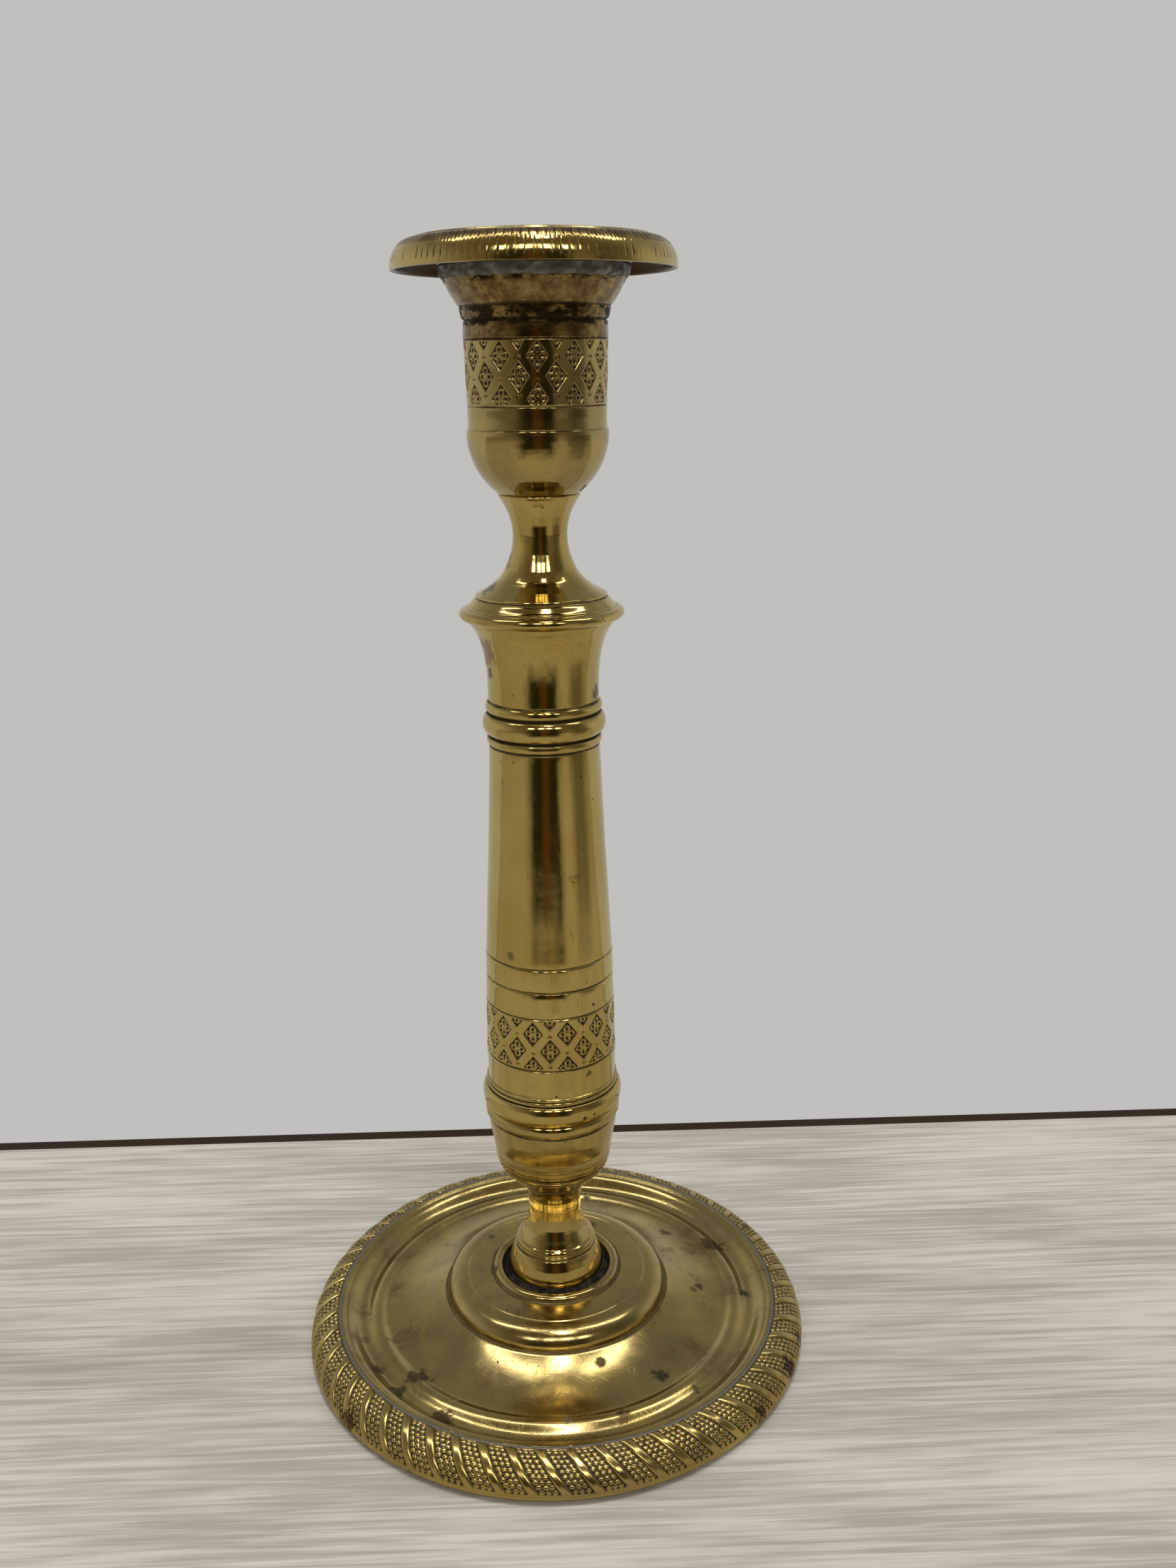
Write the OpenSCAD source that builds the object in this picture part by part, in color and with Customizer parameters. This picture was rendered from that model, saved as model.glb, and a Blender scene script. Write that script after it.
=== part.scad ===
// Turned brass candlestick: a soldered foot, a stem of castings drawn together
// by one tie rod, a candle cup and a soldered drip pan with a candle tube.
// The axis is Z. The origin is the middle of the foot, on the table.

/* [Base] */
// Outside diameter of the foot
base_d = 130; // [110:1:160]
// Height of the rim band
rim_h = 9; // [7.5:0.1:12]
// Width of the rim band, seen from above
rim_w = 7.5; // [6:0.5:9]
// Height of the plain lip that stands on the table
lip_h = 2.2; // [1:0.1:3]
// How far the lip stands out past the rim's back
lip_w = 0.6; // [0.3:0.1:1]
// Thickness of the rim band
rim_wall = 1.5; // [1:0.1:2]
// Width of the ledge that carries the dish
ledge_w = 2.6; // [2:0.1:4]
// Width of the solder line between dish and rim
seam_w = 0.5; // [0.3:0.1:1]
// Thickness of the dish
dish_wall = 1.6; // [1.2:0.1:2]
// Width of the dish's flat edge
dish_edge_w = 0.8; // [0.5:0.1:1.5]
// Height of the dish at its outer valley
valley_h = 6.8; // [6:0.1:7.2]
// Distance from the dish's edge in to the crest of its low ring
ring_inset = 10; // [8:0.5:14]
// Half width of the low ring
ring_half_w = 1.2; // [0.8:0.1:2]
// Height of the low ring
ring_h = 7.4; // [7.3:0.1:8]
// Drop from the low ring to the foot of the slope
ring_step_h = 0.6; // [0.3:0.1:0.9]
// Hollowness of the slope, where 1 is a straight cone
slope_power = 1.7; // [1:0.1:2.5]
// Diameter of the dome
dome_d = 58; // [50:1:62]
// Height at which the dome starts
dome_foot_h = 11.6; // [10.6:0.1:12]
// Width of the dome's round shoulder
dome_round_w = 5.5; // [4:0.1:7]
// Height of the flat top of the dome
seat_h = 16.6; // [15.8:0.1:20]
// Gap between the foot's solder and the collar ring
collar_gap = 0.3; // [0.2:0.1:2]
// Half thickness of the collar ring
collar_half_w = 1.3; // [1:0.1:1.6]

/* [Foot knop] */
// Diameter of the knop where it stands on the dish
foot_d = 24.8; // [21:0.2:30]
// Height of the knop's foot, up to its double groove
foot_ring_h = 9; // [7:0.1:11]
// Diameter at the double groove
foot_top_d = 20.8; // [18:0.2:24]
// Distance between the two grooves
groove_pitch = 0.9; // [0.8:0.1:1.5]
// Length of the waist between foot and calyx
waist_h = 18.4; // [15:0.1:24]
// Length of the waist's lower flare
waist_low_h = 8.3; // [6:0.1:8.8]
// Length of the waist's upper flare
waist_high_h = 6.1; // [4:0.1:6.2]
// Diameter of the waist
waist_d = 13.7; // [12:0.1:16]
// Diameter of the lower edge of the calyx
calyx_foot_d = 18.4; // [17:0.2:20]
// Length of the calyx under its top bead
calyx_h = 19.6; // [17:0.1:24]
// Diameter of the calyx at its belly
belly_d = 29.8; // [28:0.2:31]
// Height of the belly over the calyx's lower edge
belly_h = 8.1; // [7:0.1:10]
// Radius of the belly's curve
belly_round = 6; // [4:0.1:7]
// Diameter at the top of the calyx
calyx_d = 32.6; // [31.6:0.2:34]
// Height of the top bead of the calyx
calyx_bead_h = 3.2; // [2.4:0.1:4]
// How far the top bead stands out
calyx_bead_w = 0.6; // [0.3:0.1:0.9]

/* [Shaft] */
// Height of the lower torus
torus_h = 6.2; // [5:0.1:8]
// How far the lower torus stands out
torus_w = 1.3; // [1:0.1:3]
// Height of the fillet above the torus
fillet_h = 1.2; // [0.8:0.1:2]
// Plain length under the patterned band
low_plain_h = 7.2; // [5:0.1:10]
// Height of the patterned band
shaft_band_h = 14.1; // [10:0.1:18]
// Plain length over the patterned band
high_plain_h = 6.7; // [5:0.1:10]
// Height of the girdle between its two grooves
girdle_h = 6; // [4:0.1:8]
// Length of the tapered stretch
taper_h = 52.1; // [40:0.1:70]
// Height of each small bead of the collar
small_bead_h = 2.3; // [1.8:0.1:3]
// How far the small beads stand out
small_bead_w = 0.7; // [0.4:0.1:1.2]
// Height of the middle bead of the collar
mid_bead_h = 5.8; // [4:0.1:8]
// How far the middle bead stands out
mid_bead_w = 1.5; // [1.2:0.1:2.5]
// Straight length of the head
head_straight_h = 3.5; // [2:0.1:6]
// Flared length of the head
head_flare_h = 15.5; // [12:0.1:20]
// Bend of the head's flare, where 1 is a straight cone
head_power = 3; // [2:0.1:4]
// Diameter at the foot of the shaft
shaft_low_d = 32.4; // [31.6:0.2:38]
// Diameter at the girdle
shaft_mid_d = 31.2; // [30.2:0.2:36]
// Diameter at the top of the taper
shaft_top_d = 26; // [22:0.2:28]
// Diameter of the mouth of the head
head_d = 34.4; // [30:0.2:40]
// Wall of the shaft at the top of the taper
shaft_wall = 2.5; // [1.5:0.1:4]
// Depth of the turned grooves
groove = 0.3; // [0.2:0.05:0.4]

/* [Neck] */
// Height of the flange's torus
flange_torus_h = 2.9; // [2:0.1:4]
// How far the flange stands out from the head
flange_w = 1.8; // [1:0.1:4]
// Height of the shoulder above the torus
shoulder_h = 2.6; // [2:0.1:4]
// Diameter of the step above the shoulder
neck_foot_d = 30.4; // [28:0.2:32]
// Length of the neck's lower flare
neck_flare_h = 13.8; // [11:0.1:17]
// Bend of the lower flare, where 1 is a straight cone
neck_power = 2.8; // [2:0.1:4]
// Length of the neck from its thinnest place up to the cup
neck_h = 8.8; // [7.4:0.1:12]
// Smallest diameter of the neck
neck_d = 12.4; // [12:0.1:14]
// Diameter of the neck where it meets the cup
neck_top_d = 19; // [17:0.2:22]

/* [Candle cup] */
// Height of the bowl
bowl_h = 14; // [12:0.1:18]
// Height of the bowl's straight edge
bowl_edge_h = 1.2; // [0.8:0.1:2]
// Thickness of the bowl's wall
bowl_wall = 2.4; // [2:0.1:2.8]
// Gap between the candle tube and the cup's wall
cup_gap = 1.3; // [0.8:0.1:3]
// How far the bowl stands out past the wall over it
bowl_step_w = 0.3; // [0.2:0.1:0.6]
// Plain length between bowl and patterned band
cup_plain_h = 5.1; // [3:0.1:8]
// Height of the patterned band
cup_band_h = 13.6; // [10:0.1:18]
// Plain length over the patterned band
cup_top_h = 4.1; // [3:0.1:8]
// How far the wall leans out over its height
cup_lean_w = 0.4; // [0.1:0.1:0.8]
// Height of the step under the flare
step_h = 3; // [2:0.1:4]
// How far the step stands out
step_w = 0.7; // [0.5:0.1:1.2]
// Height of the flare
flare_h = 6; // [5:0.1:8]
// How far the flare stands out
flare_w = 3.2; // [2.5:0.1:4.5]
// Bend of the flare, where 1 is a straight cone
flare_power = 0.8; // [0.6:0.1:1.5]
// Width of the lip's flat top
lip_flat_w = 2.4; // [1.6:0.1:3]
// Thickness of the cup's bottom
cup_floor = 5; // [4:0.1:6]

/* [Drip pan] */
// Diameter of the drip pan
pan_d = 61.8; // [58:0.2:76]
// Height of the drip pan
pan_h = 7.8; // [6.8:0.1:10]
// Where the pan's floor ends, as a share of its overhang past the cup's lip
pan_floor_share = 0.15; // [0.12:0.01:0.2]
// Where the raised rim stands, as a share of that overhang
pan_rim_share = 0.52; // [0.45:0.01:0.6]
// Width of the raised rim
pan_rim_w = 1; // [0.8:0.1:1.4]
// Thickness of the pan
pan_wall = 1.4; // [1:0.1:1.6]
// Height of the rolled edge over the pan's underside
pan_edge_h = 1.2; // [0.6:0.1:2]

/* [Candle tube] */
// Bore that holds the candle
candle_d = 22; // [18:0.2:24]
// Depth of the bore
candle_depth = 25; // [18:0.5:30]
// Wall of the tube
tube_wall = 1.1; // [0.8:0.1:1.3]
// How far the tube's collar stands out
tube_collar_w = 1.9; // [1:0.1:3]
// Thickness of the tube's collar
tube_collar_h = 0.8; // [0.6:0.1:1.2]

/* [Tie rod] */
// Diameter of the rod
rod_d = 6; // [5:0.1:6.4]
// Length of rod past each nut
rod_end = 1.5; // [1:0.1:2]
// Bottom nut, across its flats
nut_af = 11; // [10:0.5:13]
// Height of the bottom nut
nut_h = 5; // [4:0.1:6]
// Diameter of the washer
washer_d = 20; // [16:0.5:24]
// Thickness of the washer
washer_h = 1.2; // [1:0.1:2]
// Diameter of the slotted top nut
top_nut_d = 12; // [11:0.5:14]
// Height of the slotted top nut
top_nut_h = 4; // [3:0.1:5]
// Width of the slot in the top nut
slot_w = 1.6; // [1:0.1:2]
// Depth of the slot in the top nut
slot_h = 1.5; // [1:0.1:2]

/* [Joints] */
// Length of the spigots inside the shaft
spigot_h = 6; // [4:0.5:10]
// Diameter of the small tenons round the rod
tenon_d = 10; // [9:0.2:10.2]
// Length of the cup's tenon
tenon_h = 4.5; // [3:0.1:5]
// Radial clearance of spigots, tenons, tubes and nuts
fit = 0.05; // [0.02:0.01:0.1]
// Radial clearance of the rod in the castings
rod_gap = 0.2; // [0.1:0.05:0.3]
// Free height at the end of a tenon
end_gap = 0.2; // [0.1:0.05:0.4]
// Width of the solder rings at foot and lip
solder_w = 1.2; // [0.8:0.1:1.3]
// Height of the solder rings at foot and lip
solder_h = 1.4; // [1:0.1:1.6]

/* [Hidden] */

// Heights of the joints, from the table up
ledge_h = rim_h - dish_wall;
z_calyx = seat_h + foot_ring_h + waist_h;
z_shaft = z_calyx + calyx_h + calyx_bead_h;
z_girdle = z_shaft + torus_h + fillet_h + low_plain_h + shaft_band_h + high_plain_h;
z_collar = z_girdle + girdle_h + taper_h;
z_head = z_collar + 2 * small_bead_h + mid_bead_h;
z_neck = z_head + head_straight_h + head_flare_h;
z_cup = z_neck + flange_torus_h + shoulder_h + neck_flare_h + neck_h;
z_band = z_cup + bowl_h + cup_plain_h;
z_step = z_band + cup_band_h + cup_top_h;
z_pan = z_step + step_h + flare_h;
z_tube = z_pan + pan_wall + tube_collar_h;
z_top_nut = z_cup + cup_floor;
z_washer = seat_h - dish_wall - washer_h;
z_nut = z_washer - nut_h;

// Radii that pieces share
seam_r = base_d / 2 - rim_w;
dish_r = seam_r - seam_w;
foot_r = foot_d / 2;
tenon_r = tenon_d / 2;
rod_bore_r = rod_d / 2 + rod_gap;
shaft_bore_r = shaft_top_d / 2 - shaft_wall;
spigot_r = shaft_bore_r - fit;
head_r = head_d / 2;
tube_r = candle_d / 2 + tube_wall;
bowl_r = tube_r + cup_gap + bowl_wall;
cup_low_r = bowl_r - bowl_step_w;
cup_high_r = cup_low_r + cup_lean_w;
step_r = cup_high_r + step_w;
lip_r = step_r + flare_w;
overhang = pan_d / 2 - lip_r;

// How far a cutter reaches past the solid it cuts
cut = 1;

brass = "#b08d3c";
worn_brass = "#9c7a3c";
grey_solder = "#6f706c";
iron = "#4a443e";

// Points on an elliptical arc about c with radii r, from angle a to angle b
function arc(c, r, a, b, n = 8) =
    [for (i = [0:n]) let (t = a + (b - a) * i / n) [c[0] + r[0] * cos(t), c[1] + r[1] * sin(t)]];

// Points from p to q that leave p along the axis and swing sideways with power k
function flare(p, q, k, n = 8) =
    [for (i = [0:n]) let (t = i / n) [p[0] + (q[0] - p[0]) * pow(t, k), p[1] + (q[1] - p[1]) * t]];

// Points from p to q that leave p level and climb with power k
function climb(p, q, k, n = 8) =
    [for (i = [0:n]) let (t = i / n) [p[0] + (q[0] - p[0]) * t, p[1] + (q[1] - p[1]) * pow(t, k)]];

// Points from p to q along an S curve that starts and ends level
function ogee(p, q, n = 8) =
    [for (i = [0:n]) let (t = (1 - cos(180 * i / n)) / 2)
        [p[0] + (q[0] - p[0]) * i / n, p[1] + (q[1] - p[1]) * t]];

function reversed(points) = [for (i = [len(points) - 1 : -1 : 0]) points[i]];

// A half-round bead from height z up, of height h, that stands out from radius r by w
function bead(r, w, z, h) = arc([r, z + h / 2], [w, h / 2], -90, 90);

// A V groove at height z in a wall of radius r
function notch(r, z) = [[r, z - groove], [r - groove, z], [r, z + groove]];

module turned(outline) rotate_extrude($fn = 128) polygon(outline);

module ring(r_in, r_out, z, h)
    turned([[r_in, z], [r_out, z], [r_out, z + h], [r_in, z + h]]);

module bore(r, h) translate([0, 0, -cut]) cylinder(r = r, h = h + 2 * cut, $fn = 48);

// Hollow rim with a convex back, a plain lip and a ledge inside for the dish
module rim_band() color(brass) {
    back = rim_w - lip_w;
    hollow = [back - rim_wall, rim_h - lip_h - rim_wall];
    ledge_low = ledge_h - rim_wall;
    ledge_angle = asin((ledge_low - lip_h) / hollow[1]);
    ledge_r = seam_r - ledge_w;
    turned(concat(
        [[base_d / 2, 0], [base_d / 2, lip_h - lip_w]],
        arc([seam_r, lip_h], [back, rim_h - lip_h], 0, 90),
        [[seam_r, ledge_h], [ledge_r, ledge_h], [ledge_r, ledge_low]],
        arc([seam_r, lip_h], hollow, ledge_angle, 0),
        [[seam_r + hollow[0], 0]]));
}

// Grey line of solder in the seam between dish and rim
module rim_solder() color(grey_solder)
    ring(dish_r + fit, seam_r - fit, ledge_h, dish_wall);

// Spun dish: a valley, a low ring, a long hollow slope, a dome and a collar ring
module base_dish() color(brass) {
    ring_r = dish_r - ring_inset;
    slope_foot = [ring_r - ring_half_w, ring_h - ring_step_h];
    valley_r = (dish_r + ring_r) / 2;
    dome_r = dome_d / 2;
    dome_top_r = dome_r - dome_round_w;
    collar_r = foot_r + solder_w + collar_gap + collar_half_w;
    under_edge_r = seam_r - ledge_w - end_gap;
    hole_r = tenon_r + fit;
    top_side = concat(
        [[dish_r, rim_h]],
        ogee([dish_r - dish_edge_w, rim_h], [valley_r, valley_h]),
        ogee([valley_r - ring_half_w, valley_h], [ring_r + ring_half_w, ring_h], 4),
        [[ring_r, ring_h]],
        climb(slope_foot, [dome_r + groove, dome_foot_h], slope_power),
        [[dome_r, dome_foot_h - groove]],
        arc([dome_top_r, dome_foot_h], [dome_round_w, seat_h - groove - dome_foot_h], 0, 90),
        [[dome_top_r, seat_h], [collar_r + collar_half_w, seat_h]],
        arc([collar_r, seat_h + groove], [collar_half_w, collar_half_w], 0, 180),
        [[collar_r - collar_half_w, seat_h], [hole_r, seat_h]]);
    under_side = concat(
        [[hole_r, seat_h - dish_wall]],
        arc([dome_top_r - dish_wall, dome_foot_h - dish_wall],
            [dome_round_w, seat_h - dome_foot_h], 90, 15),
        reversed(climb(slope_foot - [0, dish_wall], [dome_r, dome_foot_h - dish_wall], slope_power)),
        [[valley_r + dish_edge_w, valley_h - dish_wall], [under_edge_r, ledge_h], [dish_r, ledge_h]]);
    turned(concat(under_side, top_side));
}

// Ring of solder round the foot of the stem, inside the collar ring
module foot_solder() color(grey_solder) {
    inner_r = foot_r + fit;
    turned([[inner_r, seat_h], [inner_r + solder_w, seat_h],
            [inner_r + solder_w, seat_h + solder_h / 2], [inner_r, seat_h + solder_h]]);
}

// Foot, waist and calyx in one casting, with a tenon below and a spigot above
module foot_knop() color(brass) {
    foot_low = seat_h + solder_h;
    foot_top = seat_h + foot_ring_h;
    foot_top_r = foot_top_d / 2;
    foot_round = [foot_r - foot_top_r, foot_top - foot_low - groove_pitch - groove];
    waist = [waist_d / 2, foot_top + waist_low_h];
    waist_top = [waist_d / 2, z_calyx - waist_high_h];
    calyx_foot_r = calyx_foot_d / 2;
    belly_centre = [belly_d / 2 - belly_round, z_calyx + belly_h];
    calyx_r = calyx_d / 2;
    bead_z = z_shaft - calyx_bead_h;
    turned(concat(
        [[rod_bore_r, seat_h - dish_wall + end_gap], [tenon_r, seat_h - dish_wall + end_gap]],
        [[tenon_r, seat_h], [foot_r, seat_h]],
        arc([foot_top_r, foot_low], foot_round, 0, 75),
        notch(foot_top_r, foot_top - groove_pitch - groove),
        notch(foot_top_r, foot_top - groove),
        reversed(flare(waist, [foot_top_r - groove, foot_top], 2)),
        flare(waist_top, [calyx_foot_r - groove, z_calyx], 2),
        [[calyx_foot_r, z_calyx]],
        arc(belly_centre, [belly_round, belly_round], -45, 0),
        [[calyx_r, bead_z - groove], [calyx_r - groove, bead_z]],
        bead(calyx_r, calyx_bead_w, bead_z, calyx_bead_h),
        [[spigot_r, z_shaft], [spigot_r, z_shaft + spigot_h], [rod_bore_r, z_shaft + spigot_h]]));
}

// Hollow shaft, turned in one piece from the lower torus to the flared head
module shaft() color(brass) {
    low_r = shaft_low_d / 2;
    mid_r = shaft_mid_d / 2;
    top_r = shaft_top_d / 2;
    fillet_z = z_shaft + torus_h;
    mid_bead_z = z_collar + small_bead_h;
    high_bead_z = mid_bead_z + mid_bead_h;
    turned(concat(
        [[shaft_bore_r, z_shaft]],
        bead(low_r, torus_w, z_shaft, torus_h),
        [[low_r + groove, fillet_z], [low_r + groove, fillet_z + fillet_h], [low_r, fillet_z + fillet_h]],
        notch(mid_r, z_girdle),
        notch(mid_r, z_girdle + girdle_h),
        bead(top_r, small_bead_w, z_collar, small_bead_h),
        bead(top_r + groove, mid_bead_w - groove, mid_bead_z, mid_bead_h),
        bead(top_r + groove, small_bead_w - groove, high_bead_z, small_bead_h),
        flare([top_r, z_head + head_straight_h], [head_r, z_neck], head_power),
        [[shaft_bore_r, z_neck]]));
}

// Flange and baluster neck, with a spigot below and a socket above for the cup
module neck() color(brass) {
    shoulder_top = z_neck + flange_torus_h + shoulder_h;
    thin = [neck_d / 2, shoulder_top + neck_flare_h];
    neck_foot_r = neck_foot_d / 2;
    neck_top_r = neck_top_d / 2;
    socket_r = tenon_r + fit;
    socket_z = z_cup - tenon_h - end_gap;
    turned(concat(
        [[rod_bore_r, z_neck - spigot_h], [spigot_r, z_neck - spigot_h], [spigot_r, z_neck]],
        bead(head_r, flange_w, z_neck, flange_torus_h),
        notch(neck_foot_r, shoulder_top - groove),
        reversed(flare(thin, [neck_foot_r - groove, shoulder_top], neck_power)),
        flare(thin, [neck_top_r, z_cup - groove], 2),
        [[neck_top_r, z_cup], [socket_r, z_cup], [socket_r, socket_z], [rod_bore_r, socket_z]]));
}

// Cup with a bowl, a patterned wall and a stepped, flared lip
module candle_cup() color(brass) {
    bowl_z = z_cup + bowl_h - bowl_edge_h;
    bowl_angle = acos(neck_top_d / 2 / bowl_r);
    bowl_rise = (bowl_z - z_cup) / sin(bowl_angle);
    hollow = [bowl_r - bowl_wall, bowl_rise - bowl_wall];
    floor_angle = asin((bowl_z - z_top_nut) / hollow[1]);
    flare_z = z_step + step_h;
    turned(concat(
        [[rod_bore_r, z_cup - tenon_h], [tenon_r, z_cup - tenon_h], [tenon_r, z_cup]],
        arc([0, bowl_z], [bowl_r, bowl_rise], -bowl_angle, 0, 12),
        [[bowl_r, z_cup + bowl_h - groove], [cup_low_r, z_cup + bowl_h]],
        [[cup_high_r, z_step - groove], [cup_high_r - groove, z_step], [step_r - groove, z_step + groove]],
        notch(step_r, flare_z),
        flare([step_r + groove, flare_z + 2 * groove], [lip_r, z_pan - 2 * groove], flare_power),
        [[lip_r, z_pan], [lip_r - lip_flat_w, z_pan], [hollow[0], z_step], [hollow[0], bowl_z]],
        arc([0, bowl_z], hollow, 0, -floor_angle),
        [[rod_bore_r, z_top_nut]]));
}

// Fillet of solder round the lip of the cup, under the pan
module lip_solder() color(grey_solder) {
    inner_r = lip_r + fit;
    turned([[inner_r, z_pan - solder_h], [inner_r + solder_w / 2, z_pan - solder_h],
            [inner_r + solder_w, z_pan], [inner_r, z_pan]]);
}

// Sheet pan: flat floor, raised rim and an edge rolled over and down
module drip_pan() color(brass) {
    floor_r = lip_r + overhang * pan_floor_share;
    rim_r = lip_r + overhang * pan_rim_share;
    edge_z = z_pan + pan_edge_h;
    crest_z = z_pan + pan_h;
    roll_centre = [rim_r + groove, edge_z];
    roll = [pan_d / 2 - rim_r - groove, pan_h - pan_edge_h - groove];
    inner_roll = roll - [pan_wall, pan_wall];
    turned(concat(
        [[tube_r + fit, z_pan], [floor_r + pan_wall / 2, z_pan]],
        [[rim_r - pan_rim_w / 2, edge_z + inner_roll[1]]],
        arc(roll_centre, inner_roll, 90, 0),
        arc(roll_centre, roll, 0, 90),
        [[rim_r, crest_z - groove], [rim_r - groove / 2, crest_z], [rim_r - pan_rim_w, crest_z]],
        arc([floor_r - pan_wall, z_pan + 2 * pan_wall], [pan_wall, pan_wall], 0, -90),
        [[tube_r + fit, z_pan + pan_wall]]));
}

// Thin tube with a closed bottom and a collar that rests on the pan
module candle_tube() color(worn_brass) {
    bottom_z = z_tube - candle_depth;
    collar_z = z_tube - tube_collar_h;
    collar_r = tube_r + tube_collar_w;
    turned([[0, bottom_z - tube_wall], [tube_r, bottom_z - tube_wall], [tube_r, collar_z],
            [collar_r, collar_z], [collar_r, z_tube], [candle_d / 2, z_tube],
            [candle_d / 2, bottom_z], [0, bottom_z]]);
}

module tie_rod() color(iron)
    translate([0, 0, z_nut - rod_end])
        cylinder(d = rod_d, h = z_top_nut + top_nut_h - z_nut + 2 * rod_end, $fn = 48);

// Round nut with a slot across its top, in the bottom of the cup
module top_nut() color(iron)
    translate([0, 0, z_top_nut]) difference() {
        cylinder(d = top_nut_d, h = top_nut_h, $fn = 48);
        bore(rod_d / 2 + fit, top_nut_h);
        translate([-top_nut_d, -slot_w / 2, top_nut_h - slot_h])
            cube([2 * top_nut_d, slot_w, slot_h + cut]);
    }

module base_washer() color(iron)
    ring(rod_bore_r, washer_d / 2, z_washer, washer_h);

module base_nut() color(iron)
    translate([0, 0, z_nut]) difference() {
        cylinder(d = nut_af / cos(30), h = nut_h, $fn = 6);
        bore(rod_d / 2 + fit, nut_h);
    }

rim_band();
rim_solder();
base_dish();
foot_solder();
foot_knop();
shaft();
neck();
candle_cup();
lip_solder();
drip_pan();
candle_tube();
tie_rod();
top_nut();
base_washer();
base_nut();
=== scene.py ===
# %% [markdown]
# # A turned brass candlestick
# The real object is a spun and soldered foot, a stem of hollow castings drawn together by one
# iron rod, and a drip pan soldered to the lip of the candle cup. Nearly every piece came off a
# lathe, so nearly every piece here is an outline that is turned round the Z axis.
# This cell loads the finished construction model, which the visible pieces are built to fit.

# %% Load the construction model
import math

import bpy
import numpy as np
from mathutils import Matrix, Vector


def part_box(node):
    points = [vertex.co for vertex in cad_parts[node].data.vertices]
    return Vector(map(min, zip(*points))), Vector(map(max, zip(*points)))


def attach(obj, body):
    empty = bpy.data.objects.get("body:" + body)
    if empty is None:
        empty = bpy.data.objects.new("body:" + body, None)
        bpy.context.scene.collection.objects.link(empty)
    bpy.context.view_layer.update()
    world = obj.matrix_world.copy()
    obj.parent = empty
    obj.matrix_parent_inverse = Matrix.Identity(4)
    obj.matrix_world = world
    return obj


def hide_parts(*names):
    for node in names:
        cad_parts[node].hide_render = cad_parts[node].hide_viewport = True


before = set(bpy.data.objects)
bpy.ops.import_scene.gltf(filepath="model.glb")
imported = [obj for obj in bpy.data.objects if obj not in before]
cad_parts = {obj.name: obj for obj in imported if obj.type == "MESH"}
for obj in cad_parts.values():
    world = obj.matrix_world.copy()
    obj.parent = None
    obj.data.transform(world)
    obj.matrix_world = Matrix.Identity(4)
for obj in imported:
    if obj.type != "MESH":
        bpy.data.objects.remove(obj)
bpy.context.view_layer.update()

MM = 0.001

# %% [markdown]
# ## The camera
# A candlestick is usually looked at from slightly above its pan, at arm's length. The camera is
# built from its own three directions: forward, right and up, with a slight roll, because a
# matrix says exactly where it looks and needs no tracking target.

# %% Camera
CAMERA_PLACE = Vector((0.0, -316.3, 244.4)) * MM
YAW, PITCH, ROLL = (math.radians(a) for a in (1.83, 16.70, -0.74))

forward = Vector((math.sin(YAW) * math.cos(PITCH), math.cos(YAW) * math.cos(PITCH), -math.sin(PITCH)))
level = Vector((math.cos(YAW), -math.sin(YAW), 0.0))
rise = level.cross(forward)
right = math.cos(ROLL) * level + math.sin(ROLL) * rise
up = math.cos(ROLL) * rise - math.sin(ROLL) * level

camera_data = bpy.data.cameras.new("camera")
camera_data.lens = 31.81
camera_data.sensor_width = 36.0
camera_data.clip_start = 0.01
camera = bpy.data.objects.new("camera", camera_data)
camera.matrix_world = Matrix.Translation(CAMERA_PLACE) @ Matrix((right, up, -forward)).transposed().to_4x4()
bpy.context.scene.collection.objects.link(camera)
bpy.context.scene.camera = camera
bpy.context.scene.view_settings.view_transform = "Standard"
print("camera looks down by", round(math.degrees(PITCH), 1), "degrees")

# %% [markdown]
# ## Small helpers for node trees
# Materials are wired by code, and most of that wiring is arithmetic. The output of a node is
# wrapped as a Wire here, so that a sum of two outputs can be written as a sum, and the helper
# adds the math node. The other helpers add the nodes that are needed most often.

# %% Node helpers: wires
class Wire:
    """One output of a node. Arithmetic with it adds the math node that works it out."""

    def __init__(self, wiring, socket):
        self.wiring, self.socket = wiring, socket

    def __add__(self, other):
        return self.wiring.math("ADD", self, other)

    def __radd__(self, other):
        return self.wiring.math("ADD", other, self)

    def __sub__(self, other):
        return self.wiring.math("SUBTRACT", self, other)

    def __rsub__(self, other):
        return self.wiring.math("SUBTRACT", other, self)

    def __mul__(self, other):
        return self.wiring.math("MULTIPLY", self, other)

    def __truediv__(self, other):
        return self.wiring.math("DIVIDE", self, other)

    def __rtruediv__(self, other):
        return self.wiring.math("DIVIDE", other, self)


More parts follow.
